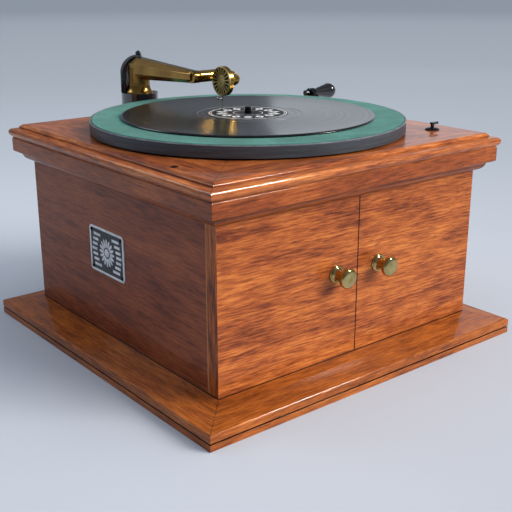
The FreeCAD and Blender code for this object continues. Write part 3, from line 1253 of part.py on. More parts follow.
def link(x0, y0, x1, y1, wide, low, thick):
    """A flat bar between two points with rounded ends."""
    long = math.hypot(x1 - x0, y1 - y0)
    bar = Part.makeBox(long, wide, thick, V(0, -wide / 2, 0))
    bar = bar.fuse([Part.makeCylinder(wide / 2, thick), Part.makeCylinder(wide / 2, thick, V(long, 0, 0))])
    bar.rotate(V(0, 0, 0), V(0, 0, 1), math.degrees(math.atan2(y1 - y0, x1 - x0)))
    bar.translate(V(x0, y0, low))
    return bar


pad_x = disc_side + disc_thick + pad_gap
pad_y = governor_y - pad_drop
pivot_xy = (float(brake_side), -float(brake_front))
brake_wide = float(brake_boss) * brake_wide_share
lever = link(pivot_xy[0], pivot_xy[1], float(finger_side), -float(finger_front), brake_wide,
             float(brake_up), float(brake_thick))
shoe = link(pivot_xy[0], pivot_xy[1], float(pad_x + half(pad_size)), float(pad_y), float(pad_size),
            float(brake_up), float(brake_thick))
boss = Part.makeCylinder(float(brake_boss), float(brake_thick), V(pivot_xy[0], pivot_xy[1], float(brake_up)))
pad = Part.makeBox(float(pad_size), float(pad_size), float(brake_up - governor_up + brake_thick),
                   V(float(pad_x), float(pad_y - half(pad_size)), float(governor_up)))
lever = lever.fuse([shoe, boss, pad])
lever = lever.cut(Part.makeCylinder(float(brake_pin + run_gap), float(brake_thick),
                                    V(pivot_xy[0], pivot_xy[1], float(brake_up))))
trim = Part.makeBox(float(pad_size), float(bed_front), float(brake_thick),
                    V(float(pad_x - pad_size), float(pad_y) - float(bed_front) / 2, float(brake_up)))
node("brake_lever", made(lever.cut(trim).removeSplitter()))
doc.recompute()
for obj in doc.Objects:
    if "Invalid" in obj.State or "Error" in obj.State:
        print("PROBLEM", obj.Name, obj.Label, obj.State)
for name, obj in NODES.items():
    shape = obj.Shape
    if shape.isNull() or not shape.isValid():
        print("PROBLEM shape", name)
        continue
    shape.exportStep("parts/%s.step" % name)
    b = shape.BoundBox
    print("%-20s solids %d  volume %.0f  x %.1f..%.1f y %.1f..%.1f z %.1f..%.1f" % (
        name, len(shape.Solids), shape.Volume, b.XMin, b.XMax, b.YMin, b.YMax, b.ZMin, b.ZMax))
print("nodes", len(NODES))
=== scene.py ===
"""The looks of a wooden table gramophone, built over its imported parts, in metres."""
import math

import bmesh
import bpy
from mathutils import Matrix, Vector


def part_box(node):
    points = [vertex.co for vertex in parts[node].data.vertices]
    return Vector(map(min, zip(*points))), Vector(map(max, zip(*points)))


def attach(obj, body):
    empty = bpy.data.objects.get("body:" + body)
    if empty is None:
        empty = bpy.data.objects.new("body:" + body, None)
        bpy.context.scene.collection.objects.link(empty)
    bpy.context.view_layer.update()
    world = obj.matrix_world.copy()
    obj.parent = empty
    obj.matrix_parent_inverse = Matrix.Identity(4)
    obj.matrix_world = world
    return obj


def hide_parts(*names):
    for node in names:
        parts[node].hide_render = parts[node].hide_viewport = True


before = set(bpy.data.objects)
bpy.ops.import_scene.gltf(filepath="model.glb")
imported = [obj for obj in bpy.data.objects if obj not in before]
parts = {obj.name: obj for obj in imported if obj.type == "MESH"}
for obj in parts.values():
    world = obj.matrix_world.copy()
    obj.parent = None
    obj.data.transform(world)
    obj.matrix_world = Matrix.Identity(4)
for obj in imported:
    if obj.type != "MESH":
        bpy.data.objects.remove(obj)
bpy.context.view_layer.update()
MM = 0.001


# Base board, floor board and plinth: solid mahogany, mitred at the corners, stained and French polished.
# The grain follows each length, the figure is mottled dark on orange, and the arrises catch the light.
def linear(code):
    """An sRGB hex colour as linear red, green, blue and alpha."""
    channels = [int(code[i:i + 2], 16) / 255 for i in (1, 3, 5)]
    return [c / 12.92 if c <= 0.04045 else ((c + 0.055) / 1.055) ** 2.4 for c in channels] + [1.0]


def add(tree, kind, inputs=None, stops=(), **settings):
    """Adds a node with its settings, its input values or links, and its colour stops."""
    made = tree.nodes.new(kind)
    for key, value in settings.items():
        setattr(made, key, value)
    for key, value in (inputs or {}).items():
        if isinstance(value, bpy.types.NodeSocket):
            tree.links.new(value, made.inputs[key])
        else:
            made.inputs[key].default_value = value
    if stops:
        ramp = made.color_ramp.elements
        for element, (place, code) in zip((ramp[0], ramp[1]), (stops[0], stops[-1])):
            element.position = place
            element.color = linear(code)
        for place, code in stops[1:-1]:
            ramp.new(place).color = linear(code)
    return made


def new_finish(name, **sockets):
    """A material with its shader's plain values set, its tree, its shader and its Object coordinates."""
    finish = bpy.data.materials.new(name)
    finish.use_nodes = True
    tree = finish.node_tree
    shader = tree.nodes["Principled BSDF"]
    for key, value in sockets.items():
        shader.inputs[key.replace("_", " ")].default_value = value
    return finish, tree, shader, add(tree, "ShaderNodeTexCoord").outputs["Object"]


def sized(tree, place, *spans):
    """Coordinates in which one unit is that many millimetres long each way."""
    scale = [1 / (span * MM) for span in spans]
    return add(tree, "ShaderNodeVectorMath", {0: place, 1: scale}, operation="MULTIPLY").outputs[0]


def laid_along(tree, axes, grain):
    """Coordinates with the grain first, and how far the nearest mitre is, or None where there is none.

    The grain runs along x, y or z, round the cabinet by mitres, or level between upright lippings."""
    if grain in ("x", "y", "z"):
        order = {"x": "XYZ", "y": "YXZ", "z": "ZXY"}[grain]
        letters = {i: axes[letter] for i, letter in enumerate(order)}
        return add(tree, "ShaderNodeCombineXYZ", letters).outputs[0], None
    wide = add(tree, "ShaderNodeMath", {0: axes["X"]}, operation="ABSOLUTE").outputs[0]
    if grain == "mitre":
        second, third = axes["Y"], axes["Z"]
        limit = add(tree, "ShaderNodeMath", {0: axes["Y"]}, operation="ABSOLUTE").outputs[0]
        off = add(tree, "ShaderNodeMath", {0: wide, 1: limit}, operation="SUBTRACT").outputs[0]
        off = add(tree, "ShaderNodeMath", {0: off}, operation="ABSOLUTE").outputs[0]
    else:
        second, third = axes["Z"], axes["Y"]
        limit = (half_body - lipping) * MM
        off = None
    side = add(tree, "ShaderNodeMath", {0: wide, 1: limit}, operation="GREATER_THAN").outputs[0]
    along = add(tree, "ShaderNodeMix", {0: side, 2: axes["X"], 3: second}).outputs[0]
    across = add(tree, "ShaderNodeMix", {0: side, 2: second, 3: axes["X"]}).outputs[0]
    return add(tree, "ShaderNodeCombineXYZ", {0: along, 1: across, 2: third}).outputs[0], off


def polished_mahogany(name, grain, tones, polish=0.22, bands=()):
    """Stained mahogany under French polish: flame figure, streaks and open pores along the grain.

    A band is an axis, where it starts and ends in millimetres, and its colour; the bands paint lines of shade and
    highlight."""
    finish, tree, shader, place = new_finish(name, Coat_Weight=polish, Coat_Roughness=0.07, Coat_IOR=1.6,
                                             Specular_IOR_Level=0.08)
    axes = add(tree, "ShaderNodeSeparateXYZ", {0: place}).outputs
    board, joint = laid_along(tree, axes, grain)
    lean = 0.025
    board = add(tree, "ShaderNodeMapping", {0: board, "Rotation": (0.0, lean, lean)}).outputs[0]
    # Real pores are 0.2 mm wide: they are drawn wider here, to show at all
    marks = {}
    for mark, long, thick, detail, rough, bend in (
            ("flame", 70, 9, 8.0, 0.62, 0.4), ("streak", 25, 1.7, 5.0, 0.7, 0.0),
            ("cloud", 105, 36, 4.0, 0.6, 0.0), ("pore", 12, 1.1, 1.0, 0.5, 0.0)):
        marks[mark] = add(tree, "ShaderNodeTexNoise", {
            "Vector": sized(tree, board, long, thick, thick), "Scale": 1.0, "Detail": detail,
            "Roughness": rough, "Distortion": bend}).outputs[0]
    figure = 0.0
    for mark, share in (("flame", 0.26), ("streak", 0.46), ("cloud", 0.28)):
        figure = add(tree, "ShaderNodeMath", {0: marks[mark], 1: share, 2: figure},
                     operation="MULTIPLY_ADD").outputs[0]
    spread = add(tree, "ShaderNodeMapRange", {0: figure, 1: 0.33, 2: 0.66}).outputs[0]
    steps = list(zip((0.0, 0.28, 0.52, 0.76, 1.0), tones))
    colour = add(tree, "ShaderNodeValToRGB", {0: spread}, steps).outputs[0]
    pored = add(tree, "ShaderNodeMapRange", {0: marks["pore"], 1: 0.56, 2: 0.72}).outputs[0]
    shade = add(tree, "ShaderNodeMath", {0: pored, 1: 0.45}, operation="MULTIPLY").outputs[0]
    overlays = [(shade, tones[0])]
    if joint is not None:
        seam = {0: joint, 1: 0.1 * MM, 2: 0.8 * MM, 3: 0.6, 4: 0.0}
        overlays.append((add(tree, "ShaderNodeMapRange", seam).outputs[0], "#1E0F09"))
    for letter, low, high, code in bands:
        span = {0: axes[letter], 1: (low + high) / 2 * MM, 2: (high - low) / 2 * MM}
        overlays.append((add(tree, "ShaderNodeMath", span, operation="COMPARE").outputs[0], code))
    for share, code in overlays:
        colour = add(tree, "ShaderNodeMix", {0: share, 6: colour, 7: linear(code)},
                     data_type="RGBA").outputs[2]
    tree.links.new(colour, shader.inputs["Base Color"])
    dull = add(tree, "ShaderNodeMapRange", {0: marks["streak"], 1: 0.3, 2: 0.7, 3: 0.27, 4: 0.42}).outputs[0]
    tree.links.new(dull, shader.inputs["Roughness"])
    relief = add(tree, "ShaderNodeMath", {0: pored, 1: -0.6, 2: marks["streak"]},
                 operation="MULTIPLY_ADD").outputs[0]
    bump = add(tree, "ShaderNodeBump", {"Height": relief, "Strength": 0.12, "Distance": 0.3 * MM})
    tree.links.new(bump.outputs[0], shader.inputs["Normal"])
    return finish


def dress(finish, *names):
    """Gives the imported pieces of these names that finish, in place of their plain one."""
    for name in names:
        parts[name].data.materials.clear()
        parts[name].data.materials.append(finish)


def soften(width, *names):
    """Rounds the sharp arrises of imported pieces, as sandpaper does, over that many millimetres."""
    for name in names:
        weld = parts[name].modifiers.new("weld", "WELD")
        weld.merge_threshold = 0.01 * MM
        arris = parts[name].modifiers.new("arris", "BEVEL")
        arris.width = width * MM
        arris.segments = 3
        arris.limit_method = "ANGLE"
        arris.angle_limit = math.radians(35)
        arris.use_clamp_overlap = width > 1
        arris.harden_normals = True


def settled(name, mesh, finish, body, *stands_for, turn=Matrix.Identity(4)):
    """A finished piece: its mesh put in place, its finish, the body it rides and the nodes it stands for."""
    mesh.transform(turn)
    mesh.set_sharp_from_angle(angle=math.radians(38))
    if finish is not None:
        mesh.materials.clear()
        mesh.materials.append(finish)
    piece = bpy.data.objects.new(name, mesh)
    bpy.context.scene.collection.objects.link(piece)
    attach(piece, body)
    if stands_for:
        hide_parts(*stands_for)
    return piece


def eased(corners):
    """An outline of (out, height) points from corners of (out, height, radius), rounded by each radius."""
    steps = 8
    line = []
    for k, (out, high, radius) in enumerate(corners):
        here = Vector((out, high))
        if not radius:
            line.append((out, high))
            continue
        back = (Vector(corners[k - 1][:2]) - here).normalized()
        on = (Vector(corners[(k + 1) % len(corners)][:2]) - here).normalized()
        half = back.angle(on) / 2
        centre = here + (back + on).normalized() * (radius / math.sin(half))
        start = here + back * (radius / math.tan(half)) - centre
        end = here + on * (radius / math.tan(half)) - centre
        first = math.atan2(start.y, start.x)
        sweep = (math.atan2(end.y, end.x) - first + math.pi) % (2 * math.pi) - math.pi
        for t in range(steps + 1):
            angle = first + sweep * t / steps
            line.append((centre.x + radius * math.cos(angle), centre.y + radius * math.sin(angle)))
    return line


def bridge(form, first, second):
    """Faces between two closed rows of points, with triangles where a row is one point."""
    for k in range(len(first)):
        corners = list(dict.fromkeys([first[k - 1], first[k], second[k], second[k - 1]]))
        if len(corners) > 2:
            form.faces.new(corners)


def as_mesh(form, smooth=True):
    """The plain mesh of a form, with its faces turned outwards."""
    bmesh.ops.recalc_face_normals(form, faces=form.faces)
    for face in form.faces:
        face.smooth = smooth
    mesh = bpy.data.meshes.new("form")
    form.to_mesh(mesh)
    form.free()
    return mesh


def swept_square(line):
    """A closed outline run round the cabinet's square by mitres; out counts from the body's face."""
    form = bmesh.new()
    loops = []
    for out, high in line:
        reach = (half_body + out) * MM
        corners = ((-reach, -reach), (reach, -reach), (reach, reach), (-reach, reach))
        loops.append([form.verts.new((x, y, high * MM)) for x, y in corners])
    for first, second in zip(loops, loops[1:] + loops[:1]):
        bridge(form, first, second)
    bmesh.ops.remove_doubles(form, verts=form.verts, dist=0.01 * MM)
    return as_mesh(form)


half_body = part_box("right_side_panel")[1].x / MM
lipping = 0.2
plinth_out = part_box("plinth_moulding")[1].x / MM - half_body
base_top = 6.2
plinth_top = 22.4
mahogany_tones = ["#3C1B10", "#703720", "#A6592C", "#CB783C", "#DE9453"]
plinth_tones = ["#4B220F", "#733A16", "#9D5420", "#BB6B2A", "#CD813B"]
# Dark lines of painted shade: one in the groove above the base board, one where the plinth meets the body.
groove_shade_lines = [("Z", base_top - 0.1, base_top + 1.1, "#1E0F09"),
              ("Z", plinth_top - 0.3, plinth_top + 0.2, "#3A1E12")]
plinth_mahogany = polished_mahogany("plinth_mahogany", "mitre", plinth_tones, 0.4, groove_shade_lines)
base_line = [(-half_body, 0, 0), (plinth_out, 0, 0.4), (plinth_out, base_top, 0.15),
             (-half_body, base_top, 0)]
plinth_line = [(0, base_top, 0), (31.6, base_top, 0), (31.6, base_top + 0.4, 0),
               (plinth_out, base_top + 1.2, 0.2), (plinth_out, 14.8, 2.4), (10.5, 18.8, 9.0),
               (0.3, plinth_top, 0), (0, plinth_top, 0)]
base = settled("base_swept", swept_square(eased(base_line)), plinth_mahogany, "cabinet", "base_board")
plinth = settled("plinth_swept", swept_square(eased(plinth_line)), plinth_mahogany,
                 "cabinet", "plinth_moulding")
dress(polished_mahogany("board_mahogany", "x", mahogany_tones), "floor_board", "front_head_rail")
dress(polished_mahogany("stile_mahogany", "z", mahogany_tones), "front_frame")
soften(0.5, "front_head_rail")


# Cornice and deck frame: moulded mahogany, mitred at the corners, with a quirk, a bead and a flat fascia.
# The polish on the rounded edges draws bright lines along the front, and a bore lets the speed stem through.
def bored(mesh, place, radius):
    """The mesh with an upright round hole through it, of that many millimetres."""
    through = 60 * MM
    form = bmesh.new()
    bmesh.ops.create_cone(form, cap_ends=True, segments=32, radius1=radius * MM, radius2=radius * MM,
                          depth=through, matrix=Matrix.Translation(place))
    drill = bpy.data.objects.new("drill", as_mesh(form, False))
    blank = bpy.data.objects.new("blank", mesh)
    for holder in (drill, blank):
        bpy.context.scene.collection.objects.link(holder)
    bore = blank.modifiers.new("bore", "BOOLEAN")
    bore.operation = "DIFFERENCE"
    bore.solver = "EXACT"
    bore.object = drill
    made = bpy.data.meshes.new_from_object(blank.evaluated_get(bpy.context.evaluated_depsgraph_get()))
    for holder in (drill, blank):
        bpy.data.objects.remove(holder)
    return made


moulding_tones = ["#451D0F", "#6A3217", "#914820", "#AD5D2A", "#C07339"]
cornice_mahogany = polished_mahogany("cornice_mahogany", "mitre", moulding_tones, 0.4)
deck_mahogany = polished_mahogany("deck_mahogany", "mitre", mahogany_tones, 0.6)
cornice_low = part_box("cornice_moulding")[0].z / MM
deck_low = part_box("top_frame")[0].z / MM
deck_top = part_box("top_frame")[1].z / MM
bead_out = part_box("top_frame")[1].x / MM - half_body
fascia_out = 15.0
cornice_line = [
    (0, cornice_low, 0), (0.5, cornice_low, 0), (1.6, 170.8, 0), (3.5, 171.4, 0), (5.3, 172.5, 0),
    (6.7, 173.9, 0), (7.7, 175.6, 0), (8.3, 177.4, 0), (8.4, 178.6, 0.2), (13.2, 179.4, 0.3),
    (fascia_out, 180.6, 0.6), (fascia_out, deck_low, 0.9), (0, deck_low, 0)]
deck_line = [
    (-64.5, deck_low, 0), (14.0, deck_low, 0), (14.0, 194.5, 0), (15.0, 195.3, 0), (16.0, 196.2, 0),
    (16.8, 197.3, 0), (17.3, 198.5, 0), (bead_out, 199.8, 0), (17.1, 201.1, 0), (16.3, 202.3, 0),
    (15.0, 203.1, 0), (13.3, 203.6, 0), (10.2, 203.8, 0), (9.0, 203.9, 0), (9.0, 204.5, 0), (9.8, 205.0, 0.9),
    (6.0, deck_top, 1.6), (-54.5, deck_top, 0), (-54.5, 199.0, 0), (-64.5, 199.0, 0)]
cornice = settled("cornice_swept", swept_square(eased(cornice_line)), cornice_mahogany,
                  "cabinet", "cornice_moulding")
low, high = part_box("speed_plate")
stem_bore = 2.1
deck = settled("deck_frame_swept", bored(swept_square(eased(deck_line)), (low + high) / 2, stem_bore),
               deck_mahogany, "cabinet", "top_frame")

# Side panels: one wide mahogany board each, with level grain, standing on the floor board.
# Their mahogany is a darker copy of the doors', standing for the shade on the sides, and a pale line along their
# front edges is a painted highlight.
panel_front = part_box("left_side_panel")[0].y / MM
# A darker copy of the mahogany, as painted shade.
shaded_side_tones = ["#52241A", "#6C3421", "#89472B", "#9C5533", "#AC653E"]
# A pale line of painted highlight along each front edge.
edge_highlight_band = ("Y", panel_front - 0.1, panel_front + 0.8, "#C98A5C")
dress(polished_mahogany("shaded_side_mahogany", "y", shaded_side_tones, bands=[edge_highlight_band]),
      "left_side_panel", "right_side_panel")
soften(0.9, "left_side_panel")

# Doors: veneered leaves, hung on pins, with level, mottled figure that runs over both.
# A thin dark gap parts them, and a band of painted shade darkens their meeting edges.
gap_shade_depth = 0.35
gap_shade_band = ("X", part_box("left_door")[1].x / MM - gap_shade_depth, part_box("right_door")[0].x / MM + gap_shade_depth,
           "#34190E")
dress(polished_mahogany("door_mahogany", "lipped", mahogany_tones, bands=[gap_shade_band]),
      "left_door", "right_door")

# Back panel and motor board: plain oiled boards behind and under the show wood.
# They are duller and more even than the rest.
plain_tones = ["#4A2B1A", "#6E452A", "#8A5A38", "#A06D46", "#B58359"]
dress(polished_mahogany("back_mahogany", "z", plain_tones), "back_panel")
dress(polished_mahogany("board_top_mahogany", "x", mahogany_tones, 1.0), "motor_board")


# Knobs: turned from solid brass, with a rosette, a waisted neck and a domed head, and aged to a pale olive.
# Each screws into its door.
def mottled(name, tones, metallic, rough, spans, relief=0.05, **sockets):
    """A finish whose colour and gloss wander between two values, over spans in millimetres."""
    finish, tree, shader, place = new_finish(name, Metallic=metallic, **sockets)
    patch = add(tree, "ShaderNodeTexNoise", {"Vector": sized(tree, place, *spans), "Scale": 1.0,
                                             "Detail": 5.0, "Roughness": 0.6}).outputs[0]
    grit = add(tree, "ShaderNodeTexNoise", {"Vector": sized(tree, place, 1.1, 1.1, 1.1), "Scale": 1.0,
                                            "Detail": 2.0}).outputs[0]
    both = add(tree, "ShaderNodeMath", {0: grit, 1: 0.3, 2: patch}, operation="MULTIPLY_ADD").outputs[0]
    least, most = 0.45, 0.85
    colour = add(tree, "ShaderNodeValToRGB", {0: both}, [(least, tones[0]), (most, tones[1])]).outputs[0]
    tree.links.new(colour, shader.inputs["Base Color"])
    gloss = add(tree, "ShaderNodeMapRange", {0: both, 1: least, 2: most, 3: rough[1], 4: rough[0]}).outputs[0]
    tree.links.new(gloss, shader.inputs["Roughness"])
    bump = add(tree, "ShaderNodeBump", {"Height": both, "Strength": relief, "Distance": 0.3 * MM})
    tree.links.new(bump.outputs[0], shader.inputs["Normal"])
    return finish


def lathe(line, steps=96, closed=False):
    """A mesh turned about Z from (radius, height) points in millimetres."""
    form = bmesh.new()
    turns = [2 * math.pi * k / steps for k in range(steps)]
    rings = []
    for radius, high in line:
        if radius == 0:
            rings.append([form.verts.new((0, 0, high * MM))] * steps)
            continue
        rings.append([form.verts.new((radius * MM * math.cos(a), radius * MM * math.sin(a), high * MM))
                      for a in turns])
    for first, second in zip(rings, rings[1:] + (rings[:1] if closed else [])):
        bridge(form, first, second)
    return as_mesh(form)


aged_brass = mottled("aged_brass", ["#9A874E", "#D0BC84"], 1.0, (0.12, 0.22), (9, 9, 9))
knob_line = [
    (0, -2), (2.4, -2), (2.4, 0), (8.3, 0), (8.3, 1.0), (8.0, 1.5), (7.5, 1.8), (6.9, 1.9), (6.5, 1.7),
    (6.1, 1.9), (5.6, 2.4), (5.0, 3.0), (4.8, 3.8), (4.7, 5.0), (4.7, 9.6), (4.9, 10.6), (5.5, 11.3),
    (6.6, 11.8), (7.9, 12.2), (8.8, 12.8), (9.2, 13.7), (9.2, 15.6), (9.0, 16.4), (8.5, 17.0), (7.7, 17.5),
    (6.6, 17.85), (4.0, 18.1), (0, 18.2)]
facing_front = Matrix.Rotation(math.pi / 2, 4, "X")
for side in ("left", "right"):
    low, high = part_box(side + "_door_knob")
    middle = (low + high) / 2
    turn = Matrix.Translation((middle.x, -half_body * MM, middle.z)) @ facing_front
    knob = settled(side + "_knob_turned", lathe(knob_line), aged_brass,
                   side + "_leaf", side + "_door_knob", turn=turn)


# Slotted screws and pins: blackened steel heads, domed and sawn with one slot each.
# Two hold the deck frame, four the bracket and four small ones the side plate.
def modifier_mesh(name, tree, base, values):
    """The plain mesh that a tree makes of a base mesh with these named values."""
    holder = bpy.data.objects.new(name, base)
    bpy.context.scene.collection.objects.link(holder)
    modifier = holder.modifiers.new(name, "NODES")
    modifier.node_group = tree
    for socket in tree.interface.items_tree:
        if socket.in_out == "INPUT" and socket.name in values:
            modifier[socket.identifier] = values[socket.name]
    mesh = bpy.data.meshes.new_from_object(holder.evaluated_get(bpy.context.evaluated_depsgraph_get()))
    bpy.data.objects.remove(holder)
    return mesh


def new_tree(name, **inputs):
    """A Geometry Nodes tree with its named inputs, and the sockets that give them."""
    tree = bpy.data.node_groups.new(name, "GeometryNodeTree")
    tree.interface.new_socket("Geometry", in_out="OUTPUT", socket_type="NodeSocketGeometry")
    tree.interface.new_socket("Base", in_out="INPUT", socket_type="NodeSocketGeometry")
    for key, kind in inputs.items():
        tree.interface.new_socket(key, in_out="INPUT", socket_type="NodeSocket" + kind)
    return tree, add(tree, "NodeGroupInput").outputs


blackened_steel = mottled("blackened_steel", ["#141416", "#2E2E32"], 1.0, (0.3, 0.45), (5, 5, 5))
screw_tree, given = new_tree("slotted_heads", Radius="Float", Rise="Float", Finish="Material")
dome = add(screw_tree, "GeometryNodeMeshUVSphere", {"Segments": 28, "Rings": 14, "Radius": given["Radius"]})
flat = add(screw_tree, "ShaderNodeMath", {0: given["Rise"], 1: given["Radius"]}, operation="DIVIDE")
squash = add(screw_tree, "ShaderNodeCombineXYZ", {0: 1.0, 1: 1.0, 2: flat.outputs[0]})
dome = add(screw_tree, "GeometryNodeTransform", {"Geometry": dome.outputs[0], "Scale": squash.outputs[0]})
sawn = add(screw_tree, "ShaderNodeMath", {0: given["Radius"], 1: 2.4}, operation="MULTIPLY")
thin = add(screw_tree, "ShaderNodeMath", {0: given["Radius"], 1: 0.34}, operation="MULTIPLY")
saw = add(screw_tree, "ShaderNodeCombineXYZ", {0: sawn.outputs[0], 1: thin.outputs[0], 2: given["Rise"]})
saw = add(screw_tree, "GeometryNodeMeshCube", {"Size": saw.outputs[0]})
lift = add(screw_tree, "ShaderNodeCombineXYZ", {2: given["Rise"]})
saw = add(screw_tree, "GeometryNodeTransform", {"Geometry": saw.outputs[0], "Translation": lift.outputs[0]})
head = add(screw_tree, "GeometryNodeMeshBoolean", {0: dome.outputs[0], 1: saw.outputs[0]},
           operation="DIFFERENCE")
slot_turn = add(screw_tree, "FunctionNodeRandomValue", {"Min": (0, 0, 0), "Max": (0, 0, 3.1), "Seed": 4},
                data_type="FLOAT_VECTOR")
heads = add(screw_tree, "GeometryNodeInstanceOnPoints", {"Points": given["Base"], "Instance": head.outputs[0],
                                                        "Rotation": slot_turn.outputs[0]})
heads = add(screw_tree, "GeometryNodeRealizeInstances", {0: heads.outputs[0]})
heads = add(screw_tree, "GeometryNodeSetMaterial", {"Geometry": heads.outputs[0],
                                                   "Material": given["Finish"]})
add(screw_tree, "NodeGroupOutput", {0: heads.outputs[0]})
facing_back = Matrix.Rotation(-math.pi / 2, 4, "X")
facing_left = Matrix.Rotation(-math.pi / 2, 4, "Y")
deck_spots = [(-157, -101.6, deck_top), (157, 101.6, deck_top)]
bracket_spots = [(x, 162.5, z) for x in (-26, 26) for z in (49, 107)]
pin_spots = [(-158.7, y, z) for y in (-12.55, 40.55) for z in (87.4, 124.0)]
for name, spots, radius, rise, turn in (
        ("deck_screws", deck_spots, 3.4, 0.9, Matrix.Identity(4)),
        ("bracket_screws", bracket_spots, 3.4, 1.8, facing_back),
        ("name_plate_pins", pin_spots, 1.5, 0.9, facing_left)):
    dots = bpy.data.meshes.new(name)
    dots.from_pydata([turn.inverted() @ (Vector(spot) * MM) for spot in spots], [], [])
    sizes = {"Radius": radius * MM, "Rise": rise * MM, "Finish": blackened_steel}
    mesh = modifier_mesh(name, screw_tree, dots, sizes)
    screws = settled(name + "_slotted", mesh, None, "cabinet", name, turn=turn)

# Side plate: pressed metal with a bright rolled border, a dark enamelled field and a raised rosette.
# The rosette and its bars are a plain ornament.
bright_plate = mottled("pressed_tin", ["#C6CACE", "#F2F4F6"], 0.5, (0.38, 0.5), (6, 6, 6))
dark_plate = mottled("plate_enamel", ["#14171B", "#23282E"], 0.0, (0.35, 0.5), (8, 8, 8))


def plate_ring(inset, depth):
    """One level of the plate: a rectangle with round corners, across the plate and up it."""
    steps = 8
    corner = max(plate_corner - inset, 0.6)
    wide, high = plate_half.y / MM - inset - corner, plate_half.z / MM - inset - corner
    ring = []
    for quarter, (across, up) in enumerate(((1, 1), (-1, 1), (-1, -1), (1, -1))):
        for k in range(steps + 1):
            angle = math.pi / 2 * (quarter + k / steps)
            ring.append((across * wide + corner * math.cos(angle),
                         up * high + corner * math.sin(angle), depth))
    return ring


low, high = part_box("name_plate")
plate_half = (high - low) / 2
plate_middle = (low + high) / 2
plate_corner = 4.0
field_depth = 0.75
form = bmesh.new()
levels = [plate_ring(inset, depth) for inset, depth in
          ((0, 0), (0, 0.8), (0.3, 1.1), (0.7, 1.2), (1.7, 1.2), (2.1, 1.05), (2.3, field_depth))]
rings = [[form.verts.new(Vector(p) * MM) for p in level] for level in levels]
for first, second in zip(rings, rings[1:]):
    bridge(form, first, second)
form.faces.new(rings[-1]).material_index = 1
form.faces.new(list(reversed(rings[0])))
mesh = as_mesh(form, False)
mesh.materials.append(bright_plate)
mesh.materials.append(dark_plate)
plate_turn = Matrix.Translation((-half_body * MM, plate_middle.y, plate_middle.z)) @ Matrix(
    ((0, 0, -1, 0), (-1, 0, 0, 0), (0, 1, 0, 0), (0, 0, 0, 1)))
plate = settled("side_plate", mesh, None, "cabinet", "name_plate", turn=plate_turn)

ring_tree, given = new_tree("ring_of_pieces", Count="Int", Radius="Float", Piece="Object", Finish="Material")
circle = add(ring_tree, "GeometryNodeMeshCircle", {"Vertices": given["Count"], "Radius": given["Radius"]})
number = add(ring_tree, "GeometryNodeInputIndex")
share = add(ring_tree, "ShaderNodeMath", {0: number.outputs[0], 1: given["Count"]}, operation="DIVIDE")
angle = add(ring_tree, "ShaderNodeMath", {0: share.outputs[0], 1: 2 * math.pi}, operation="MULTIPLY")
facing = add(ring_tree, "ShaderNodeCombineXYZ", {2: angle.outputs[0]})
source = add(ring_tree, "GeometryNodeObjectInfo", {0: given["Piece"]})
ring = add(ring_tree, "GeometryNodeInstanceOnPoints", {
    "Points": circle.outputs[0], "Rotation": facing.outputs[0], "Instance": source.outputs["Geometry"]})
ring = add(ring_tree, "GeometryNodeRealizeInstances", {0: ring.outputs[0]})
both = add(ring_tree, "GeometryNodeJoinGeometry", {0: ring.outputs[0]})
ring_tree.links.new(given["Base"], both.inputs[0])
ring = add(ring_tree, "GeometryNodeSetMaterial", {"Geometry": both.outputs[0], "Material": given["Finish"]})
add(ring_tree, "NodeGroupOutput", {0: ring.outputs[0]})


def ring_mesh(name, base, piece, count, radius, finish):
    """A base mesh with copies of a small mesh set round it at a radius in millimetres."""
    sample = bpy.data.objects.new(name + "_sample", piece)
    bpy.context.scene.collection.objects.link(sample)
    mesh = modifier_mesh(name, ring_tree, base, {"Count": count, "Radius": radius * MM, "Piece": sample,
                                                 "Finish": finish})
    bpy.data.objects.remove(sample)
    return mesh


petal = lathe([(0, -0.1), (1.0, -0.1), (1.0, 0.1), (0.7, 0.3), (0, 0.4)], 20)
petal.transform(Matrix.Diagonal((4.2, 1.45, 1.0, 1.0)))
petals, petal_ring = 16, 9.4
boss = lathe([(0, -0.1), (4.0, -0.1), (4.0, 0.2), (3.2, 0.45), (2.2, 0.3), (1.4, 0.55), (0, 0.6)], 40)
rosette = ring_mesh("rosette", boss, petal, petals, petal_ring, bright_plate)
rosette.transform(plate_turn @ Matrix.Translation((0, 0, field_depth * MM)))
rosette = settled("side_plate_rosette", rosette, None, "cabinet")
form = bmesh.new()
bar_end, bar_high, bar_thick = 26.5, 2.6, 0.4
for start, up in (
        (17.5, 0.0), (16.8, 5.0), (16.8, -5.0), (14.6, 10.0), (14.6, -10.0), (10.5, 15.0), (10.5, -15.0)):
    bar_long = bar_end - start - abs(up) * 0.25
    for sign in (-1, 1):
        spot = Matrix.Translation((sign * (start + bar_long / 2) * MM, up * MM, (field_depth + 0.1) * MM))
        size = Matrix.Diagonal((bar_long * MM, bar_high * MM, bar_thick * MM, 1.0))
        bmesh.ops.create_cube(form, size=1.0, matrix=spot @ size)
mesh = as_mesh(form, False)
bars = settled("side_plate_bars", mesh, bright_plate, "cabinet", turn=plate_turn)

# Platter: pressed steel, stove enamelled black, with a satin rim, seated on the spindle.
# Fine turning lines run round the rim, whose blue-grey is a painted reflection on the black enamel, and its lip
# is a paler grey as a painted highlight.
# The rim's blue-grey is a painted reflection.
sheen_grey_rim = mottled("sheen_grey_rim", ["#2C3138", "#434A52"], 0.0, (0.4, 0.55), (40, 40, 1.6), 0.04,
                    Coat_Weight=0.1, Coat_Roughness=0.25)
dress(sheen_grey_rim, "platter")
# The lip's paler grey is a painted highlight.
highlight_grey_lip = mottled("highlight_grey_lip", ["#6C727A", "#9AA1A9"], 0.5, (0.35, 0.5), (14, 14, 14))
lip_line = [(153.4, 219.4), (155.1, 219.4), (155.15, 219.8), (155.0, 220.25), (154.6, 220.5), (154.1, 220.5),
            (153.6, 220.2)]
lip = settled("platter_lip", lathe(lip_line, 180, True), highlight_grey_lip, "turntable")

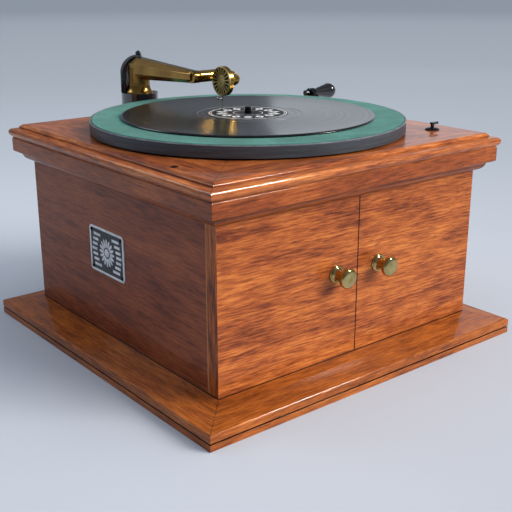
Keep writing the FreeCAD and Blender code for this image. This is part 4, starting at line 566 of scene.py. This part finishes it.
# Felt: a disc of teal wool felt glued to the platter.
# Its fibres give a soft, matt and slightly mottled face.
felt_finish, tree, shader, place = new_finish("teal_felt", Roughness=0.95, Sheen_Weight=0.1,
                                              Sheen_Roughness=0.5)
tuft = add(tree, "ShaderNodeTexNoise", {"Vector": sized(tree, place, 1.6, 1.6, 1.6), "Scale": 1.0,
                                        "Detail": 4.0, "Roughness": 0.7}).outputs[0]
blot = add(tree, "ShaderNodeTexNoise", {"Vector": sized(tree, place, 26, 26, 26), "Scale": 1.0,
                                        "Detail": 3.0}).outputs[0]
nap = add(tree, "ShaderNodeMath", {0: blot, 1: 0.6, 2: tuft}, operation="MULTIPLY_ADD").outputs[0]
teals = [(0.5, "#245F56"), (0.8, "#357A70"), (1.0, "#4D9087")]
colour = add(tree, "ShaderNodeValToRGB", {0: nap}, teals).outputs[0]
tree.links.new(colour, shader.inputs["Base Color"])
bump = add(tree, "ShaderNodeBump", {"Height": tuft, "Strength": 0.5, "Distance": 0.4 * MM})
tree.links.new(bump.outputs[0], shader.inputs["Normal"])
felt_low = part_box("felt_mat")[0].z / MM
felt_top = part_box("felt_mat")[1].z / MM
felt_line = [(4.2, felt_low), (152.4, felt_low), (153.0, 220.3), (153.0, 220.6), (152.6, 220.85),
             (151.5, felt_top), (100, felt_top), (4.6, felt_top), (4.2, 220.7)]
felt = settled("felt_disc", lathe(felt_line, 180, True), felt_finish, "turntable", "felt_mat")


# Record: pressed shellac, slate black, with a raised lip, a grooved band and a smooth run-out.
# Real grooves are 0.25 mm apart: they are drawn coarser, so that their sheen shows.
def off_axis(tree, place, centre, across):
    """How far a point is from a line through centre, counted along the axes that across keeps."""
    off = add(tree, "ShaderNodeVectorMath", {0: place, 1: centre}, operation="SUBTRACT").outputs[0]
    off = add(tree, "ShaderNodeVectorMath", {0: off, 1: across}, operation="MULTIPLY").outputs[0]
    return add(tree, "ShaderNodeVectorMath", {0: off}, operation="LENGTH").outputs["Value"]


shellac, tree, shader, place = new_finish("pressed_shellac", Specular_IOR_Level=0.5, Coat_Weight=0.25,
                                          Coat_Roughness=0.12, Base_Color=linear("#121316"))
groove_pitch = 0.7
band_middle, band_half = 87, 34
loud_span = 3.5
reach = off_axis(tree, place, (0, 0, 0), (1, 1, 0))
phase = {0: reach, 1: 2 * math.pi / (groove_pitch * MM)}
phase = add(tree, "ShaderNodeMath", phase, operation="MULTIPLY").outputs[0]
wave = add(tree, "ShaderNodeMath", {0: phase}, operation="SINE").outputs[0]
band = {0: reach, 1: band_middle * MM, 2: band_half * MM}
band = add(tree, "ShaderNodeMath", band, operation="COMPARE").outputs[0]
cut_in = add(tree, "ShaderNodeMath", {0: wave, 1: band}, operation="MULTIPLY").outputs[0]
turns = add(tree, "ShaderNodeMath", {0: reach, 1: 1 / (loud_span * MM)}, operation="MULTIPLY").outputs[0]
loud = add(tree, "ShaderNodeTexNoise", {"W": turns, "Scale": 1.0, "Detail": 3.0},
           noise_dimensions="1D").outputs[0]
gloss = add(tree, "ShaderNodeMapRange", {0: loud, 1: 0.3, 2: 0.7, 3: 0.19, 4: 0.24}).outputs[0]
tree.links.new(gloss, shader.inputs["Roughness"])
bump = add(tree, "ShaderNodeBump", {"Height": cut_in, "Strength": 0.02, "Distance": 0.1 * MM})
tree.links.new(bump.outputs[0], shader.inputs["Normal"])
record_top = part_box("record")[1].z / MM
record_line = [
    (3.8, felt_top), (123.6, felt_top), (124.5, 221.3), (125.0, 222.0), (124.6, 222.7), (123.9, 223.05),
    (122.9, record_top), (121.9, 223.0), (120.5, 222.85), (90, 222.85), (54, 222.85), (52.5, 222.95),
    (46, 222.95), (41.5, 223.0), (40.4, record_top), (3.8, record_top)]
record = settled("record_pressed", lathe(record_line, 220, True), shellac, "turntable", "record")
spiral_tree, given = new_tree("lead_out", Turns="Float", Start="Float", End="Float", Width="Float",
                              Finish="Material")
spiral = add(spiral_tree, "GeometryNodeCurveSpiral", {
    "Resolution": 180, "Rotations": given["Turns"], "Height": 0.0, "Start Radius": given["Start"],
    "End Radius": given["End"]})
track = add(spiral_tree, "GeometryNodeCurvePrimitiveCircle", {"Resolution": 6, "Radius": given["Width"]})
groove = add(spiral_tree, "GeometryNodeCurveToMesh", {
    "Curve": spiral.outputs[0], "Profile Curve": track.outputs[0], "Fill Caps": True})
groove = add(spiral_tree, "GeometryNodeRealizeInstances", {0: groove.outputs[0]})
groove = add(spiral_tree, "GeometryNodeSetMaterial", {"Geometry": groove.outputs[0],
                                                     "Material": given["Finish"]})
add(spiral_tree, "NodeGroupOutput", {0: groove.outputs[0]})
# The lead-out spiral is a grey ridge: its grey is a painted highlight on the groove's walls.
lead_out_highlight = mottled("lead_out_highlight", ["#5C6067", "#7C8087"], 0.0, (0.25, 0.4), (20, 20, 20))
lead_out_high = 222.9
sizes = {"Turns": 1.6, "Start": 53.5 * MM, "End": 44.5 * MM, "Width": 0.2 * MM, "Finish": lead_out_highlight}
groove = modifier_mesh("lead_out", spiral_tree, bpy.data.meshes.new("lead_out"), sizes)
groove = settled("record_lead_out", groove, None, "turntable",
                 turn=Matrix.Translation((0, 0, lead_out_high * MM)))

# Label: a dark paper disc pressed into the record, printed in silver with rings and a ring of lozenges.
# The ink has a dull sheen and is rubbed thin in places.
label_finish, tree, shader, place = new_finish("printed_label", Specular_IOR_Level=0.4)
axes = add(tree, "ShaderNodeSeparateXYZ", {0: place}).outputs
reach = off_axis(tree, place, (0, 0, 0), (1, 1, 0))
angle = add(tree, "ShaderNodeMath", {0: axes["Y"], 1: axes["X"]}, operation="ARCTAN2").outputs[0]
ink = 0.0
for middle, half_wide in ((38.2, 0.45), (36.4, 0.25), (14.5, 0.35)):
    ring = {0: reach, 1: middle * MM, 2: half_wide * MM}
    ring = add(tree, "ShaderNodeMath", ring, operation="COMPARE").outputs[0]
    ink = add(tree, "ShaderNodeMath", {0: ring, 1: ink}, operation="MAXIMUM").outputs[0]
lozenges, lozenge_ring = 28, 26.0
step = {0: angle, 1: lozenges / (2 * math.pi)}
step = add(tree, "ShaderNodeMath", step, operation="MULTIPLY").outputs[0]
near = add(tree, "ShaderNodeMath", {0: step, 1: 1.0}, operation="PINGPONG").outputs[0]
far = add(tree, "ShaderNodeMath", {0: reach, 1: lozenge_ring * MM}, operation="SUBTRACT").outputs[0]
far = add(tree, "ShaderNodeMath", {0: far}, operation="ABSOLUTE").outputs[0]
for half_wide, half_high in ((0.8, 6.5), (0.3, 2.4)):
    edge = add(tree, "ShaderNodeMath", {0: far, 1: half_high * MM}, operation="DIVIDE").outputs[0]
    edge = add(tree, "ShaderNodeMath", {0: near, 1: 1 / half_wide, 2: edge},
               operation="MULTIPLY_ADD").outputs[0]
    shape = add(tree, "ShaderNodeMath", {0: edge, 1: 1.0}, operation="LESS_THAN").outputs[0]
    ink = add(tree, "ShaderNodeMath", {0: ink, 1: shape}, operation="SUBTRACT").outputs[0]
    ink = add(tree, "ShaderNodeMath", {0: ink}, operation="ABSOLUTE").outputs[0]
wear = add(tree, "ShaderNodeTexNoise", {"Vector": sized(tree, place, 3, 3, 3), "Scale": 1.0,
                                        "Detail": 4.0}).outputs[0]
wear = add(tree, "ShaderNodeMapRange", {0: wear, 1: 0.22, 2: 0.42}).outputs[0]
ink = add(tree, "ShaderNodeMath", {0: ink, 1: wear}, operation="MULTIPLY").outputs[0]
colour = add(tree, "ShaderNodeMix", {0: ink, 6: linear("#1C1D20"), 7: linear("#EEF0F3")},
             data_type="RGBA").outputs[2]
tree.links.new(colour, shader.inputs["Base Color"])
matt = add(tree, "ShaderNodeMapRange", {0: ink, 3: 0.5, 4: 0.35}).outputs[0]
tree.links.new(matt, shader.inputs["Roughness"])
label_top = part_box("record_label")[1].z / MM
label_line = [(3.8, record_top), (39.7, record_top), (39.6, 223.22), (39.2, label_top), (4.0, label_top),
              (3.8, 223.2)]
label = settled("label_printed", lathe(label_line, 120, True), label_finish, "turntable", "record_label")
dress(blackened_steel, "spindle")

# Tone arm and gooseneck: brass sheet and tube, brazed, lacquered and mellowed.
# The flats are satin, and the tube that hands touch is bright.
satin_brass = mottled("satin_brass", ["#866433", "#B8924F"], 1.0, (0.15, 0.24), (28, 28, 28), 0.02)
bright_brass = mottled("bright_brass", ["#9C7430", "#E2B65A"], 1.0, (0.12, 0.24), (12, 12, 12), 0.02)
dress(satin_brass, "tone_arm")
dress(bright_brass, "gooseneck")
soften(3.2, "tone_arm")

# Soundbox front: a pierced brass plate with a wide hub, spokes and a thin rim, over the dark diaphragm.
# Its face is satin, and it closes the case, whose inside is painted dark as shade.
form = bmesh.new()
rim_line = [(13.4, 0), (15.3, 0), (15.3, 1.2), (15.1, 1.6), (14.7, 1.8), (14.2, 1.75), (13.7, 1.5)]
hub_line = [(0, 0.1), (6.2, 0.1), (6.2, 1.2), (5.9, 1.45), (5.2, 1.5), (2.0, 1.6), (1.6, 1.9), (0, 2.0)]
form.from_mesh(lathe(rim_line, 96, True))
form.from_mesh(lathe(hub_line, 72))
wheel = as_mesh(form)
form = bmesh.new()
inner = [(-4.1, -0.56, 0.6), (-4.1, 0.56, 0.6), (-4.1, 0.46, 1.4), (-4.1, -0.46, 1.4)]
outer = [(4.1, -1.0, 0.6), (4.1, 1.0, 0.6), (4.1, 0.85, 1.45), (4.1, -0.85, 1.45)]
first = [form.verts.new(Vector(p) * MM) for p in inner]
second = [form.verts.new(Vector(p) * MM) for p in outer]
bridge(form, first, second)
form.faces.new(first)
form.faces.new(second)
spoke = as_mesh(form, False)
spokes, spoke_ring = 18, 9.8
pierced_brass = mottled("pierced_brass", ["#B49C60", "#E8CE8C"], 1.0, (0.36, 0.48), (8, 8, 8), 0.03)
low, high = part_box("soundbox_grille")
middle = (low + high) / 2
grille_turn = Matrix.Translation((high.x, middle.y, middle.z)) @ facing_left
grille = ring_mesh("grille", wheel, spoke, spokes, spoke_ring, pierced_brass)
grille = settled("soundbox_front", grille, None, "soundbox", "soundbox_grille", turn=grille_turn)
case_brass = mottled("soundbox_brass", ["#9C7430", "#E2B65A"], 1.0, (0.14, 0.26), (12, 12, 12), 0.02)
tree = case_brass.node_tree
case_low, case_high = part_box("soundbox_case")
case_inside, back_thick = 14.2, 0.4
place = add(tree, "ShaderNodeTexCoord").outputs["Object"]
reach = off_axis(tree, place, (case_low + case_high) / 2, (0, 1, 1))
# The inside of the case is painted near black as shade.
painted_shade_inside = add(tree, "ShaderNodeMath", {0: reach, 1: case_inside * MM}, operation="LESS_THAN").outputs[0]
depth = add(tree, "ShaderNodeSeparateXYZ", {0: place}).outputs["X"]
before_back = {0: depth, 1: case_high.x - back_thick * MM}
before_back = add(tree, "ShaderNodeMath", before_back, operation="LESS_THAN").outputs[0]
painted_shade_inside = add(tree, "ShaderNodeMath", {0: painted_shade_inside, 1: before_back}, operation="MULTIPLY").outputs[0]
shader = tree.nodes["Principled BSDF"]
brass = shader.inputs["Base Color"].links[0].from_socket
colour = add(tree, "ShaderNodeMix", {0: painted_shade_inside, 6: brass, 7: linear("#15110C")}, data_type="RGBA").outputs[2]
tree.links.new(colour, shader.inputs["Base Color"])
dress(case_brass, "soundbox_case")
dark_mica = mottled("dark_mica", ["#1A1511", "#2E261C"], 0.0, (0.15, 0.3), (4, 4, 4))
dress(dark_mica, "diaphragm")

# Needle bar, needle and its screw: hardened steel, nickelled and bright.
# The ball head of the needle screw is turned by a finger.
bright_steel = mottled("bright_steel", ["#BFC4CA", "#F2F4F6"], 1.0, (0.14, 0.26), (4, 4, 4))
dress(bright_steel, "needle", "needle_screw", "stylus_bar")

# Bracket, strap and pivot screw: cast iron and bent strip, dipped in black japan, and an oiled steel screw.
# The varnish is deep and glossy, with a faint ripple, and screws hold the bracket to the back panel.
black_japan = mottled("black_japan", ["#0E0E11", "#1C1C21"], 0.0, (0.14, 0.26), (18, 18, 18), 0.06,
                      Coat_Weight=1.0, Coat_Roughness=0.05, Coat_IOR=1.8)
dress(black_japan, "rear_bracket", "pivot_strap")
oiled_steel = mottled("oiled_steel", ["#34383E", "#596068"], 1.0, (0.18, 0.3), (5, 5, 5))
dress(oiled_steel, "pivot_screw")

# Crank: a steel shaft and arm, blackened, in a brass bush, with a turned ebonite grip.
# The grip is polished by hands.
ebonite = mottled("ebonite", ["#0D0D0E", "#1D1D20"], 0.0, (0.18, 0.28), (10, 10, 10), 0.02, Coat_Weight=1.0,
                  Coat_Roughness=0.08)
dress(ebonite, "crank_grip")
dress(oiled_steel, "crank_shaft", "crank_arm", "speed_plate", "speed_lever")
dress(aged_brass, "crank_bush")

# Motor: painted iron plates, steel arbors, brass wheels, a blued spring and rubber pads.
# It hangs under the motor board, out of sight.
grey_iron = mottled("painted_iron", ["#2C3032", "#45494B"], 0.0, (0.4, 0.6), (3, 3, 3), 0.25)
dress(grey_iron, "motor_bedplate", "motor_lower_plate")
turned_steel = mottled("turned_steel", ["#6E7277", "#A9ADB2"], 1.0, (0.22, 0.38), (6, 6, 0.8))
dress(turned_steel, "motor_pillars", "motor_bolts", "spring_barrel", "barrel_cover", "barrel_arbor",
      "intermediate_arbor", "governor_shaft", "brake_lever", "door_hinge_pins")
dress(satin_brass, "intermediate_wheel", "winding_wheel", "friction_disc", "governor_weights")
dress(mottled("blued_spring", ["#1E2A44", "#3C4A6A"], 1.0, (0.25, 0.4), (8, 8, 8)), "mainspring")
dress(mottled("pressed_fibre", ["#4A2A18", "#6E4426"], 0.0, (0.6, 0.8), (1.5, 1.5, 4)), "worm_wheel")
dress(mottled("moulded_rubber", ["#101010", "#1F1F1F"], 0.0, (0.7, 0.9), (3, 3, 3)), "motor_pads")

# Horn: tinned sheet, soldered at the corners and painted dull black.
# It opens behind the doors.
dress(mottled("horn_paint", ["#0E0D0C", "#211E1B"], 0.0, (0.55, 0.75), (30, 30, 30), 0.1), "horn")

# Stage: a pale blue-grey paper floor, painted darker far out as a fall-off of the light, under two soft suns
# from the right, a ceiling light and a dim sky. The sky that the camera sees has the far floor's colour.
# A small sun and a pale card at the back show only in the polish.
bpy.ops.mesh.primitive_plane_add(size=60.0)
floor = bpy.context.object
floor.name = "studio_floor"
floor_finish, tree, shader, place = new_finish("studio_paper", Roughness=0.9)
paper_near, paper_far = 0.35, 7.0
away = add(tree, "ShaderNodeVectorMath", {0: place}, operation="LENGTH").outputs["Value"]
away = add(tree, "ShaderNodeMapRange", {0: away, 1: paper_near, 2: paper_far}).outputs[0]
# The paper darkens with distance: a painted fall-off of the light.
falloff_stops = [(0.0, "#BFC8D5"), (0.1, "#ABB5C2"), (0.25, "#9FA9B6"), (0.45, "#9BA5B3"), (0.73, "#95A0AE"),
          (1.0, "#848F9E")]
colour = add(tree, "ShaderNodeValToRGB", {0: away}, falloff_stops).outputs[0]
tree.links.new(colour, shader.inputs["Base Color"])
floor.data.materials.append(floor_finish)
world = bpy.data.worlds.new("studio_sky")
bpy.context.scene.world = world
world.use_nodes = True
tree = world.node_tree
seen = add(tree, "ShaderNodeLightPath").outputs["Is Camera Ray"]
colour = add(tree, "ShaderNodeMix", {0: seen, 6: linear("#C9D2DE"), 7: linear("#A4AEBC")},
             data_type="RGBA").outputs[2]
dim_sky = 0.29
level = add(tree, "ShaderNodeMapRange", {0: seen, 3: dim_sky, 4: 1.0}).outputs[0]
tree.links.new(colour, tree.nodes["Background"].inputs["Color"])
tree.links.new(level, tree.nodes["Background"].inputs["Strength"])
lit_point = Vector((0.0, 0.0, 0.12))
only_in_polish = ("glint_light", "far_card")
for kind, name, spot, size, power, colour in (
        ("SUN", "key_light", (1.5, -2.2, 1.6), 0.6, 3.0, "#FFF7EE"),
        ("SUN", "soft_key", (1.9, -1.5, 1.3), 1.5, 1.7, "#FFF9F2"),
        ("SUN", "soft_ceiling", (-0.1, -0.1, 2.0), 1.2, 0.75, "#FAFBFF"),
        ("SUN", "glint_light", (2.1, -2.1, 2.0), 0.14, 2.0, "#FFF7EE"),
        ("AREA", "far_card", (2.0, 1.45, 0.7), 1.2, 2.7, "#EAF0FA"),
        ("AREA", "rim_light", (-0.9, 1.3, 1.3), 0.8, 5.0, "#EAF2FF")):
    lamp = bpy.data.lights.new(name, kind)
    setattr(lamp, "angle" if kind == "SUN" else "size", size)
    lamp.energy = power
    lamp.color = linear(colour)[:3]
    holder = bpy.data.objects.new(name, lamp)
    bpy.context.scene.collection.objects.link(holder)
    holder.location = spot
    holder.visible_glossy = name in only_in_polish or name == "rim_light"
    holder.visible_diffuse = name not in only_in_polish
    holder.rotation_euler = (lit_point - Vector(spot)).to_track_quat("-Z", "Y").to_euler()

# Camera: the photograph's view, from the left of the front and above.
# Its lens comes from the same fit as the cabinet's size.
camera = bpy.data.cameras.new("camera")
camera.sensor_width = 36.0
camera.lens = 62.33
camera.clip_end = 200.0
viewer = bpy.data.objects.new("camera", camera)
bpy.context.scene.collection.objects.link(viewer)
stand = Vector((-0.547461, -0.686756, 0.361739))
aim = Vector((0.006092, -0.005102, 0.073948))
viewer.location = stand
viewer.rotation_euler = (aim - stand).to_track_quat("-Z", "Y").to_euler()
bpy.context.scene.camera = viewer
bpy.context.scene.view_settings.view_transform = "Standard"
